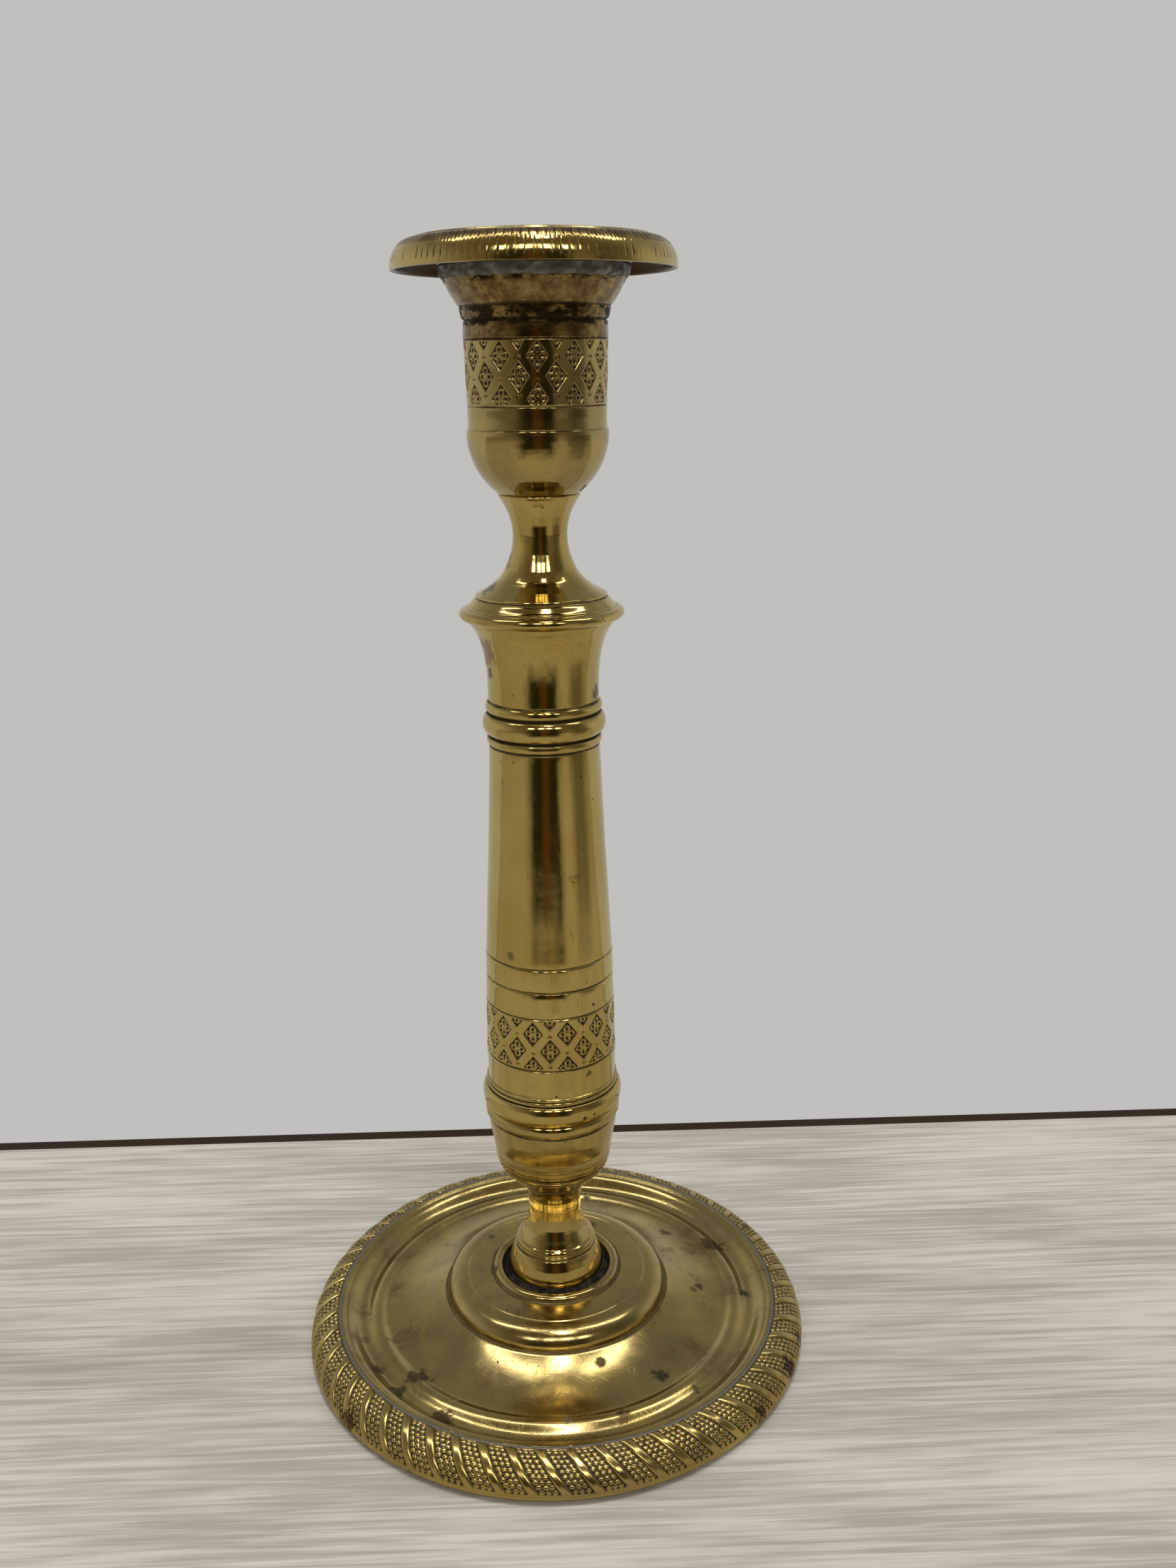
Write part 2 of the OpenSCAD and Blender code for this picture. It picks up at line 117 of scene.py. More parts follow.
# %% Node helpers: wiring
class Wiring:
    """Adds nodes to a tree. An input may be a number, a colour or a Wire."""

    def __init__(self, tree):
        self.tree = tree

    def feed(self, node, inputs):
        """Links or sets inputs of a node, given by name or number."""
        for name, value in inputs.items():
            socket = node.inputs[name]
            if isinstance(value, Wire):
                self.tree.links.new(value.socket, socket)
            elif isinstance(value, (tuple, list)) and socket.type == "RGBA":
                socket.default_value = (*value[:3], 1.0)
            else:
                socket.default_value = value

    def outputs(self, kind, inputs, **settings):
        """Adds a node and returns all its outputs."""
        node = self.tree.nodes.new(kind)
        for name, value in settings.items():
            setattr(node, name, value)
        self.feed(node, inputs)
        return {socket.name: Wire(self, socket) for socket in node.outputs}

    def add(self, output, kind, inputs=None, **settings):
        """Adds a node and returns the output with that name."""
        return self.outputs(kind, inputs or {}, **settings)[output]

    def math(self, operation, a, b=0.0, clamp=False):
        return self.add("Value", "ShaderNodeMath", {0: a, 1: b}, operation=operation, use_clamp=clamp)

    def most(self, first, *others):
        for other in others:
            first = self.math("MAXIMUM", first, other)
        return first

    def vector(self, operation, a, b=(0.0, 0.0, 0.0)):
        output = "Value" if operation == "LENGTH" else "Vector"
        second = "Scale" if operation == "SCALE" else 1
        return self.add(output, "ShaderNodeVectorMath", {0: a, second: b}, operation=operation)

    def split(self, vector):
        parts = self.outputs("ShaderNodeSeparateXYZ", {0: vector})
        return parts["X"], parts["Y"], parts["Z"]

    def combine(self, x, y, z=0.0):
        return self.add("Vector", "ShaderNodeCombineXYZ", {0: x, 1: y, 2: z})

    def blend(self, factor, a, b):
        """Mixes two colours, which are inputs 6 and 7 of the mix node."""
        node = self.tree.nodes.new("ShaderNodeMix")
        node.data_type = "RGBA"
        self.feed(node, {0: factor, 6: a, 7: b})
        return Wire(self, node.outputs[2])

    def ramp(self, value, low, high, to_low=0.0, to_high=1.0):
        """A smooth step from to_low, where value is low, to to_high, where it is high."""
        ends = {"Value": value, "From Min": low, "From Max": high, "To Min": to_low, "To Max": to_high}
        return self.add("Result", "ShaderNodeMapRange", ends, interpolation_type="SMOOTHSTEP")

    def noise(self, place, scale, detail=2.0, roughness=0.5, w=None, distortion=0.0):
        inputs = {"Vector": place, "Scale": scale, "Detail": detail, "Roughness": roughness,
                  "Distortion": distortion}
        if w is None:
            return self.add("Fac", "ShaderNodeTexNoise", inputs)
        return self.add("Fac", "ShaderNodeTexNoise", {**inputs, "W": w}, noise_dimensions="4D")

    def mark(self, name):
        """A number that is stored on every point of the mesh."""
        return self.add("Fac", "ShaderNodeAttribute", attribute_name=name)

    def bump(self, height, strength, distance):
        """A normal that is tilted by a height, with the distance in millimetres."""
        relief = {"Height": height, "Strength": strength, "Distance": distance * MM}
        return self.add("Normal", "ShaderNodeBump", relief)


# %% Node helpers: groups and materials
def within(w, value, starts, full, ends, gone, most=1.0):
    """0 outside a stretch of values, and up to most inside it."""
    return w.ramp(value, starts, full) * w.ramp(value, ends, gone, most, 0.0)


def new_group(name, output, **inputs):
    """An empty node group. An input is its default number, or None where it is a vector.
    Returns the group's wiring, its inputs, and a function that takes what the group puts out."""
    tree = bpy.data.node_groups.new(name, "ShaderNodeTree")
    for label, value in inputs.items():
        kind = "Vector" if value is None else "Float"
        socket = tree.interface.new_socket(label, in_out="INPUT", socket_type="NodeSocket" + kind)
        if value is not None:
            socket.default_value = value
    tree.interface.new_socket(output, in_out="OUTPUT", socket_type="NodeSocketFloat")
    g = Wiring(tree)
    end = tree.nodes.new("NodeGroupOutput")
    return g, g.outputs("NodeGroupInput", {}), lambda value: g.feed(end, {output: value})


def new_material(name):
    """A new material. Returns it with its wiring and its shader node."""
    material = bpy.data.materials.new(name)
    material.use_nodes = True
    return material, Wiring(material.node_tree), material.node_tree.nodes["Principled BSDF"]


# %% [markdown]
# ## Surface effects as node groups
# Old brass shows the same few effects everywhere, in different amounts. Each effect is one
# node group with named inputs, so that the cup, the pan and the foot can share it.
# Coordinates stay in the materials. They are millimetres, and a turned frame in which a mark can
# run round the axis without a seam, because it uses the sine and cosine of the angle.

# %% Coordinates in millimetres
def millimetres(w):
    """The place on the object."""
    return w.vector("SCALE", w.add("Object", "ShaderNodeTexCoord"), 1 / MM)


def turned_place(w, point):
    """The cosine, the sine and the height as one vector, and the radius."""
    x, y, z = w.split(point)
    flat = w.combine(x, y)
    cosine, sine, _ = w.split(w.vector("NORMALIZE", flat))
    return w.combine(cosine, sine, z), w.vector("LENGTH", flat)


# %% [markdown]
# Tarnish grows in clouds with soft and hard edges. Two noises of different size, one of them
# warping itself, give patches that look grown. Cover says how much of the surface they take.

# %% Group: tarnish clouds
g, given, put_out = new_group("tarnish_clouds", "Mask", Point=None, Size=12.0, Cover=0.4, Seed=0.0)
scale = 1.0 / given["Size"]
broad = g.noise(given["Point"], scale, 3.0, 0.55, w=given["Seed"], distortion=0.6)
fine = g.noise(given["Point"], scale * 5.0, 4.0, 0.65, w=given["Seed"])
edge = 0.72 - given["Cover"] * 0.5
put_out(g.ramp(broad * 0.72 + fine * 0.28, edge, edge + 0.14))

# %% [markdown]
# A lathe tool leaves fine rings, and polishing leaves hair scratches across them. The rings are
# noise that changes fast along the radius and the height and slowly round the axis. The
# scratches are the thin lines where a stretched noise passes its middle, kept only in patches.

# %% Group: turning rings
g, given, put_out = new_group("turning_marks", "Height", Turned=None, Radius=0.0, Pitch=0.5)
fast = 1.0 / given["Pitch"]
stretched = g.vector("MULTIPLY", given["Turned"], g.combine(2.5, 2.5, fast))
put_out(g.noise(stretched, 1.0, 3.0, 0.6, w=given["Radius"] * fast))

# %% Group: hair scratches
LINE_WIDTH = 0.02

g, given, put_out = new_group("hair_scratches", "Mask", Point=None, Density=0.5)
lines = []
for angle, length, seed in ((0.5, 9.0, 3.0), (-0.9, 12.0, 8.0), (1.8, 7.0, 15.0)):
    place = given["Point"]
    for axis, by in (("Z_AXIS", angle), ("Y_AXIS", angle * 0.7)):
        place = g.add("Vector", "ShaderNodeVectorRotate", {"Vector": place, "Angle": by}, rotation_type=axis)
    stretched = g.vector("MULTIPLY", place, (1.0 / length, 1.3, 1.0 / length))
    middle = g.math("ABSOLUTE", g.noise(stretched, 1.0, 1.0, 0.4, w=seed) - 0.5)
    patches = g.noise(given["Point"], 0.16, 2.0, 0.6, w=seed + 40.0)
    kept = g.math("GREATER_THAN", patches, 0.72 - given["Density"] * 0.3)
    lines.append(g.ramp(middle, 0.0, LINE_WIDTH, 1.0, 0.0) * kept)
put_out(g.most(*lines))

# %% [markdown]
# Sand castings have pits, and old brass has dark corrosion spots. Both are cells of a Voronoi
# pattern of which only a few random ones are kept, with a wobbling outline.

# %% Group: pits and spots
g, given, put_out = new_group("pits_and_spots", "Mask", Point=None, Spacing=4.0, Size=0.3, Share=0.3)
shake = g.add("Color", "ShaderNodeTexNoise", {"Vector": given["Point"], "Scale": 1.6, "Detail": 2.0})
shake = g.vector("SCALE", g.vector("SUBTRACT", shake, (0.5, 0.5, 0.5)), 1.1)
moved = g.vector("ADD", given["Point"], shake)
cells = g.outputs("ShaderNodeTexVoronoi", {"Vector": moved, "Scale": 1.0 / given["Spacing"]})
chance = g.outputs("ShaderNodeSeparateColor", {0: cells["Color"]})
kept = g.math("LESS_THAN", chance["Red"], given["Share"])
reach = given["Size"] / given["Spacing"] * (chance["Green"] + 0.35)
put_out(g.ramp(cells["Distance"], reach * 0.55, reach, 1.0, 0.0) * kept)

# %% [markdown]
# Some marks have their own place: a bruise, a drop of something green, a pit. The group measures
# how far a point lies from a centre and lets noise eat into the outline.

# %% Group: a stain in one place
g, given, put_out = new_group("placed_stain", "Mask", Point=None, Centre=None, Size=1.0)
far = g.vector("LENGTH", g.vector("SUBTRACT", given["Point"], given["Centre"])) / given["Size"]
ragged = g.noise(given["Point"], 1.6 / given["Size"], 5.0, 0.75)
put_out(g.ramp(far + (ragged - 0.5) * 3.2, 0.62, 0.95, 1.0, 0.0))

# %% [markdown]
# Grooves and the hollows round soldered seams are darkened, as grime and as painted shade. Each
# turned mesh carries an attribute that says how deep a point lies below its neighbours. The group
# breaks that value up with noise, so that the darkening ends raggedly.

# %% Group: grime and painted shade in the recesses
g, given, put_out = new_group("recess_grime", "Mask", Point=None, Recess=0.0, Amount=1.0)
ragged = g.noise(given["Point"], 0.9, 4.0, 0.7)
drift = g.noise(given["Point"], 0.12, 1.0, 0.5)
reach = given["Recess"] + (ragged - 0.5) * 0.35 + (drift - 0.5) * 0.4
put_out(g.math("MULTIPLY", g.ramp(reach, 0.15, 0.5), given["Amount"], clamp=True))

print("node groups:", sorted(t.name for t in bpy.data.node_groups))

# %% [markdown]
# ## Brass
# Brass is a metal, so its colour sits in the reflection. The clean alloy is a pale yellow that
# turns golden where it reflects itself. Handling and heat lay brown and pink films on it, with
# black dirt and painted shade in the grooves, and near-black film and painted shade on the hidden
# insides and undersides. One function wires all of this, and each piece gives its own
# amounts, because the cup under the flame is far more tarnished than the foot.

# %% Colours of brass, of what lies on it, and of painted shade
CLEAN_BRASS = (0.60, 0.465, 0.165)
WARM_BRASS = (0.53, 0.39, 0.115)
DULL_BRASS = (0.385, 0.295, 0.125)
BROWN_FILM = (0.225, 0.13, 0.045)
COPPER_FILM = (0.155, 0.088, 0.034)
PINK_FILM = (0.36, 0.21, 0.11)
# near-black film on hidden insides and undersides, where it is painted shade as well
DEEP_FILM_AND_SHADE = (0.060, 0.036, 0.016)
# black of stains, pits, soot and grime, also used for painted shade in the recesses
BLACK_DIRT_AND_SHADE = (0.026, 0.017, 0.008)
UMBER = (0.085, 0.048, 0.022)
VERDIGRIS = (0.05, 0.052, 0.03)
ROSE = (0.265, 0.165, 0.09)
SOOT_FILM = (0.02, 0.015, 0.01)


# %% Material: brass
BELT_EDGE = 0.8


def brass(name, tarnish=0.3, pink=0.2, grime=1.0, polish=0.1, spots=0.2, rings=0.05, scratches=0.5,
          pitting=0.35, veil=0.15, soot=(), bruises=(), pocks=(), seed=0.0):
    """A brass material. The amounts run from 0, none, to 1, nearly all of the surface, and polish
    is the roughness of the bare metal. A soot belt is a lowest height, a highest height and a
    cover. A bruise is a centre, a size and a colour, a pock a centre and a size, all in
    millimetres."""
    material, w, shader = new_material(name)

    def effect(group, **inputs):
        return next(iter(w.outputs("ShaderNodeGroup", inputs, node_tree=bpy.data.node_groups[group]).values()))

    point = millimetres(w)
    turned, radius = turned_place(w, point)
    recess, exposed, aged = w.mark("recess"), w.mark("exposed"), w.mark("aged")

    # how much of each effect there is at a point
    clouds = effect("tarnish_clouds", Point=point, Size=11.0, Cover=tarnish, Seed=seed)
    clouds = w.math("SUBTRACT", clouds, exposed * 1.5, clamp=True)
    blush = effect("tarnish_clouds", Point=point, Size=7.0, Cover=pink, Seed=seed + 5.0)
    # darkening in the recesses: grime and painted shade
    grime_and_shade = effect("recess_grime", Point=point, Recess=recess, Amount=grime)
    pits = effect("pits_and_spots", Point=point, Spacing=2.6, Size=0.26, Share=pitting)
    stains = effect("pits_and_spots", Point=point, Spacing=9.0, Size=1.7, Share=spots)
    hair = effect("hair_scratches", Point=point, Density=scratches)
    lines = effect("turning_marks", Turned=turned, Radius=radius, Pitch=0.45)

    # the metal and its films, from the cleanest to the oldest
    colour = w.blend(w.ramp(w.noise(point, 0.05, w=seed), 0.35, 0.65), CLEAN_BRASS, WARM_BRASS)
    dulled = w.ramp(w.noise(point, 0.09, 4.0, 0.6, w=seed + 3.0), 0.25, 0.75, veil * 0.4, veil * 1.6)
    colour = w.blend(dulled, colour, DULL_BRASS)
    colour = w.blend(blush * 0.75, colour, PINK_FILM)
    colour = w.blend(clouds * 0.8, colour, BROWN_FILM)
    mottle = w.ramp(w.noise(point, 0.4, 4.0, 0.7, w=seed + 4.0), 0.35, 0.6, 0.35, 1.0)
    colour = w.blend(w.math("MULTIPLY", aged, 2.0, clamp=True) * mottle, colour, COPPER_FILM)
    # from a film value of 0.55 up the colour goes near black: old film, and painted shade on insides and undersides
    colour = w.blend(w.ramp(aged, 0.55, 1.0), colour, DEEP_FILM_AND_SHADE)

    # bruises lie on the side that is seen, not on the underside, which is painted dark with film and shade
    outer_side = w.ramp(aged, 0.7, 0.9, 1.0, 0.0)
    harm = 0.0
    for centre, size, film in bruises:
        bruise = effect("placed_stain", Point=point, Centre=centre, Size=size) * outer_side
        colour = w.blend(bruise * 0.88, colour, film)
        harm = w.most(harm, bruise)
    for centre, size in pocks:
        far = w.vector("LENGTH", w.vector("SUBTRACT", point, centre))
        pits = w.most(pits, w.ramp(far, size * 0.6, size, 1.0, 0.0))

    # everything black: spots, pits, scratches, soot, and grime and painted shade in the recesses
    marks = w.most(stains * 0.75, pits * 0.85, hair * 0.22)
    height = w.split(point)[2]
    for low, high, cover in soot:
        belt = within(w, height, low - BELT_EDGE, low + BELT_EDGE, high - BELT_EDGE, high + BELT_EDGE)
        flat_point = w.vector("MULTIPLY", point, (1.0, 1.0, 1.8))
        blots = effect("tarnish_clouds", Point=flat_point, Size=5.0, Cover=cover, Seed=seed + low)
        marks = w.most(marks, w.ramp(belt * blots, 0.1, 0.95, 0.0, 0.92))
    colour = w.blend(w.most(marks, grime_and_shade * 0.96), colour, BLACK_DIRT_AND_SHADE)

    rough = polish + clouds * 0.12 + blush * 0.06 + w.most(aged, harm) * 0.16
    rough = rough + w.noise(point, 0.35, 3.0, 0.6) * 0.05
    rough = w.math("ADD", rough, w.most(grime_and_shade, marks) * 0.45, clamp=True)
    metal = w.math("SUBTRACT", 1.0, w.most(grime_and_shade, stains) * 0.8, clamp=True)

    relief = lines * rings + w.noise(point, 0.13) * 0.9 + w.noise(point, 0.9, 4.0, 0.7) * 0.1
    relief = relief - hair * 0.05 - pits * 0.12 + w.noise(point, 2.5, 3.0, 0.7) * (grime_and_shade * 0.08)
    w.feed(shader, {"Base Color": colour, "Metallic": metal, "Roughness": rough,
                    "Specular IOR Level": 0.15, "Normal": w.bump(relief, 0.6, 0.12)})
    return material


# %% [markdown]
# Each piece has its own brass. Marks that have a place of their own are listed first: stains in
# the valley of the dish, soot round the collar ring, a bruise on the shaft's head, the pits of
# the shaft's casting, and two belts of soot on the cup.

# %% Placed marks
RIM_STAINS = [
    ((60.5, -17.0, 4.0), 3.0, UMBER), ((57.5, -27.0, 4.0), 3.6, UMBER),
    ((47.0, -42.0, 3.0), 3.0, UMBER), ((-50.0, -39.0, 3.0), 3.4, UMBER)]
DISH_STAINS = [
    ((-38.3, -14.9, 7.0), 5.0, ROSE), ((-34.5, -30.0, 6.9), 3.4, UMBER),
    ((-45.3, -26.5, 6.6), 2.2, UMBER), ((-39.5, -34.1, 6.5), 2.6, VERDIGRIS),
    ((-28.1, -43.5, 6.6), 3.4, UMBER), ((24.7, -32.3, 7.0), 2.5, VERDIGRIS),
    ((33.3, -37.2, 6.8), 1.4, VERDIGRIS), ((50.2, -1.3, 6.3), 1.8, VERDIGRIS),
    ((38.0, 0.5, 7.2), 1.6, UMBER), ((31.5, 25.9, 7.6), 2.0, UMBER),
    ((44.5, 19.0, 6.6), 3.6, UMBER), ((15.0, -46.0, 7.2), 2.2, UMBER),
    ((-25.9, -1.5, 11.4), 1.4, UMBER)]
COLLAR_SOOT_HEIGHT = 12.9
COLLAR_SOOT = [((x, y, COLLAR_SOOT_HEIGHT), size, SOOT_FILM) for x, y, size in (
    (-16.4, -4.5, 1.5), (-14.6, -8.9, 1.6), (-11.6, -12.6, 1.6), (-7.4, -15.4, 1.6), (-2.6, -16.9, 1.4))]
SHAFT_BRUISES = [
    ((-12.9, -3.4, 180.6), 1.7, UMBER), ((-12.3, -5.0, 178.0), 1.5, UMBER),
    ((-12.2, -5.2, 183.5), 4.2, ROSE), ((12.6, -5.0, 173.0), 2.2, UMBER)]
SHAFT_POCKS = [
    ((9.9, -8.7, 150.2), 0.35), ((9.4, -9.3, 148.7), 0.4), ((11.5, -6.9, 141.2), 0.4),
    ((8.9, -10.0, 141.3), 0.55), ((10.9, -8.1, 136.2), 0.35), ((13.1, -5.8, 122.0), 0.35),
    ((12.4, -7.7, 116.0), 0.4), ((10.3, -12.0, 97.6), 0.5), ((-3.5, -13.2, 135.3), 0.4),
    ((7.8, -15.5, 68.9), 0.65), ((10.1, -14.1, 69.2), 0.45), ((1.0, -16.1, 75.2), 0.4)]
NECK_BRUISES = [((-11.2, -3.0, 196.6), 2.6, UMBER), ((-7.4, -1.0, 202.5), 2.4, ROSE)]
CUP_SOOT = [(253.2, 257.4, 0.6), (261.8, 264.0, 0.5)]

# %% One brass for each piece
brass_of = {
    "rim": brass("rim_brass", tarnish=0.34, pink=0.1, grime=0.95, polish=0.18, spots=0.12, rings=0.02,
                 scratches=0.2, veil=0.55, bruises=RIM_STAINS, seed=1.0),
    "dish": brass("dish_brass", tarnish=0.36, pink=0.16, grime=0.8, polish=0.14, spots=0.4, rings=0.07,
                  scratches=0.6, veil=0.75, bruises=DISH_STAINS + COLLAR_SOOT, seed=2.0),
    "knop": brass("knop_brass", tarnish=0.2, pink=0.05, polish=0.06, spots=0.05, rings=0.08,
                  scratches=0.1, veil=0.5, seed=3.0),
    "shaft": brass("shaft_brass", tarnish=0.2, pink=0.1, polish=0.07, spots=0.06, scratches=0.3,
                   pitting=0.5, veil=0.2, bruises=SHAFT_BRUISES, pocks=SHAFT_POCKS, seed=4.0),
    "neck": brass("neck_brass", tarnish=0.24, pink=0.25, polish=0.08, spots=0.05, scratches=0.1,
                  veil=0.3, bruises=NECK_BRUISES, seed=5.0),
    "cup": brass("cup_brass", tarnish=0.34, pink=0.26, polish=0.09, spots=0.15, scratches=0.2,
                 veil=0.8, soot=CUP_SOOT, seed=6.0),
    "pan": brass("pan_brass", tarnish=0.32, pink=0.3, polish=0.09, spots=0.1, scratches=0.2, veil=0.3,
                 seed=7.0),
    "tube": brass("tube_brass", tarnish=0.75, pink=0.4, polish=0.25, spots=0.3, veil=0.6, seed=8.0),
}
print("brass materials:", ", ".join(brass_of))

# %% [markdown]
# ## Solder and iron
# Soft solder is a dull grey metal that dries lumpy and holds black flux at its edges, and its hollows
# are darkened with painted shade as well. The rod and its nuts are iron that has browned with age.
# Both are simple metals with coarse noise.

# %% Materials: solder and iron
def dull_metal(name, light, dark, rough, bump_size, seed, grime=0.35):
    """Blends two colours by coarse noise and by the recess mark, which paints shade and grime in hollows. The dark
    one is rougher and hardly metallic.
    """
    material, w, shader = new_material(name)
    point = millimetres(w)
    patches = w.noise(point, 0.3, 4.0, 0.6, w=seed)
    crust = w.noise(point, 1.7, 4.0, 0.7, w=seed)
    # dark in noisy patches, and in hollows through the recess mark, as grime and painted shade
    dark_patches_and_shade = w.ramp(patches + w.mark("recess") * grime, 0.5, 0.72)
    w.feed(shader, {"Base Color": w.blend(dark_patches_and_shade, light, dark),
                    "Metallic": w.ramp(dark_patches_and_shade, 0.0, 1.0, 0.9, 0.2),
                    "Roughness": w.ramp(dark_patches_and_shade, 0.0, 1.0, rough, rough + 0.25),
                    "Specular IOR Level": 0.2, "Normal": w.bump(crust + patches, 0.8, bump_size)})
    return material


solder = dull_metal("grey_solder", (0.235, 0.235, 0.215), (0.12, 0.115, 0.10), 0.45, 0.15, 21.0)
dirty_solder = dull_metal("dirty_solder", (0.055, 0.05, 0.04), (0.012, 0.010, 0.008), 0.55, 0.3, 24.0)
seam_solder = dull_metal("seam_solder", (0.23, 0.215, 0.175), (0.13, 0.12, 0.095), 0.45, 0.1, 22.0, grime=0.0)
iron = dull_metal("browned_iron", (0.16, 0.13, 0.11), (0.06, 0.03, 0.018), 0.5, 0.15, 31.0)
print("dull metals:", solder.name, dirty_solder.name, seam_solder.name, iron.name)

# %% [markdown]
# ## Outlines
# A turner thinks in mouldings: beads, hollows, ogees and fillets. The helpers below give each
# moulding as a few points of radius and height in millimetres. Sharp corners are then eased by
# a tenth of a millimetre or two, because worn brass has no perfectly sharp corner and a small
# round one catches the light.

# %% Outline helpers
def arc(centre, radii, start, end, count):
    """Points on an elliptical arc, with the angles in degrees."""
    angles = np.radians(np.linspace(start, end, count + 1))
    return [(centre[0] + radii[0] * math.cos(a), centre[1] + radii[1] * math.sin(a)) for a in angles]


def arc_angles(points, centre, radii):
    """The angle in degrees at which each point lies on such an arc."""
    return np.degrees(np.arctan2((points[:, 1] - centre[1]) / radii[1], (points[:, 0] - centre[0]) / radii[0]))


def sweep(start, end, risen, count):
    """Points from start to end. For a share of the way, risen tells the share of the height."""
    steps = np.linspace(0, 1, count + 1)
    return [(start[0] + (end[0] - start[0]) * t, start[1] + (end[1] - start[1]) * risen(t)) for t in steps]


def climb(start, end, power, count):
    """Leaves start level and climbs to end."""
    return sweep(start, end, lambda t: t ** power, count)


def ogee(start, end, count):
    """An S curve that is level at both ends."""
    return sweep(start, end, lambda t: (1 - math.cos(math.pi * t)) / 2, count)


def bead(radius, width, low, height, count):
    """A half round that stands out by width."""
    return arc((radius, low + height / 2), (width, height / 2), -90, 90, count)


def groove(radius, z, size=0.3):
    """A notch as deep as it is wide on either side of its middle."""
    return [(radius, z - size), (radius - size, z), (radius, z + size)]


SHARP = 20.0


def ease(points, size):
    """Rounds every corner that bends by more than SHARP degrees, by about size."""
    p = np.array(points, float)
    p = p[np.r_[True, np.hypot(*np.diff(p, axis=0).T) > 1e-6]]
    eased = [p[0]]
    for before, here, after in zip(p[:-2], p[1:-1], p[2:]):
        into, onward = here - before, after - here
        long_in, long_on = np.hypot(*into), np.hypot(*onward)
        bend = math.degrees(math.acos(np.clip(into @ onward / (long_in * long_on), -1, 1)))
        if bend < SHARP:
            eased.append(here)
            continue
        cut = min(size, long_in * 0.45, long_on * 0.45)
        a, b = here - into / long_in * cut, here + onward / long_on * cut
        eased += [(1 - t) ** 2 * a + 2 * t * (1 - t) * here + t * t * b for t in (0, 1 / 3, 2 / 3, 1)]
    eased.append(p[-1])
    return np.array(eased)


def fill(points, step):
    """Adds points so that no two neighbours are further apart than step."""
    filled = [points[0]]
    for a, b in zip(points[:-1], points[1:]):
        count = max(1, math.ceil(np.hypot(*(b - a)) / step))
        filled += [a + (b - a) * i / count for i in range(1, count + 1)]
    return np.array(filled)


# %% [markdown]
# ## The lathe
# A piece is a closed outline made of runs. Each run has its own number of columns round the
# axis, so that a patterned band can be fine while plain metal stays light. Where two counts
# meet, one coarse edge is joined to several fine ones. A run may also carry a relief: a function
# that gives the height of every point and how dark its hollow is painted, as grime and as shade.
# The lathe also works out how much each point is overlooked by the outline beside it. That is
# stored for the painted shade and grime in hollows, and its opposite, the bare edges, for the wear.

# %% Runs, and how far each point is overlooked
# Millimetres: only outline between these distances counts as beside a point.
TOUCHING, OVERLOOK = 0.05, 2.2
# Degrees: how far the outline beside a point may rise or fall before more makes no difference.
HIGHEST_BESIDE, LOWEST_BESIDE = 90, -45
TINY = 1e-9


class Run:
    """A stretch of outline with its own columns, longest step, eased corners, relief and twist.
    Its film value is how much old film lies on it, from 0 to 1. High values, given to insides and undersides, also
    paint them near black as shade."""

    def __init__(self, points, columns, step=0.7, corner=0.15, relief=None, angles=None, twist=None, aged=0.0):
        self.points = fill(ease(points, corner), step)
        self.angles = np.arange(columns) * 2 * math.pi / columns if angles is None else angles
        self.relief, self.twist, self.aged = relief, twist, aged


def directions(outline):
    """The way ahead along a closed outline and the way out of the metal, at every point."""
    ahead = np.roll(outline, -1, 0) - np.roll(outline, 1, 0)
    ahead /= np.maximum(np.hypot(*ahead.T), TINY)[:, None]
    return ahead, np.c_[ahead[:, 1], -ahead[:, 0]]


def overlook(outline):
    """Above 0 in a hollow and below 0 on an edge, for every point of a closed outline."""
    ahead, outwards = directions(outline)
    reach = outline[None] - outline[:, None]
    far = np.hypot(reach[..., 0], reach[..., 1])
    along, above = ((reach * way[:, None]).sum(2) for way in (ahead, outwards))
    climbs = np.degrees(np.arctan2(above, np.abs(along) + TINY))
    near = (far > TOUCHING) & (far < OVERLOOK)
    sides = [np.where(near & side, climbs, -90).max(1) for side in (along > 0, along <= 0)]
    return sum(side.clip(LOWEST_BESIDE, HIGHEST_BESIDE) for side in sides) / 180


def join(a, b):
    """Faces between two rings of vertex numbers. One count must divide the other."""
    if len(a) == len(b):
        return np.c_[a, np.roll(a, -1), np.roll(b, -1), b]
    if len(a) == 1 or len(b) == 1:
        ring, pole = (b, a[0]) if len(a) == 1 else (a, b[0])
        ends = np.full(len(ring), pole)
        return np.c_[ends, np.roll(ring, -1), ring] if len(a) == 1 else np.c_[ring, np.roll(ring, -1), ends]
    flip = len(a) > len(b)
    few, many = (b, a) if flip else (a, b)
    share = len(many) // len(few)
    backwards = np.stack([np.roll(many, -k)[::share] for k in range(share, -1, -1)], 1)
    faces = np.c_[few, np.roll(few, -1), backwards]
    return faces[:, ::-1] if flip else faces


# %% Turning the rings
# Points with more grime and painted shade than the first of these limits aren't worn bare. A ring narrower than
# ON_THE_AXIS is one point.
WORN_BARE_BELOW = 0.1
ON_THE_AXIS = 1e-6


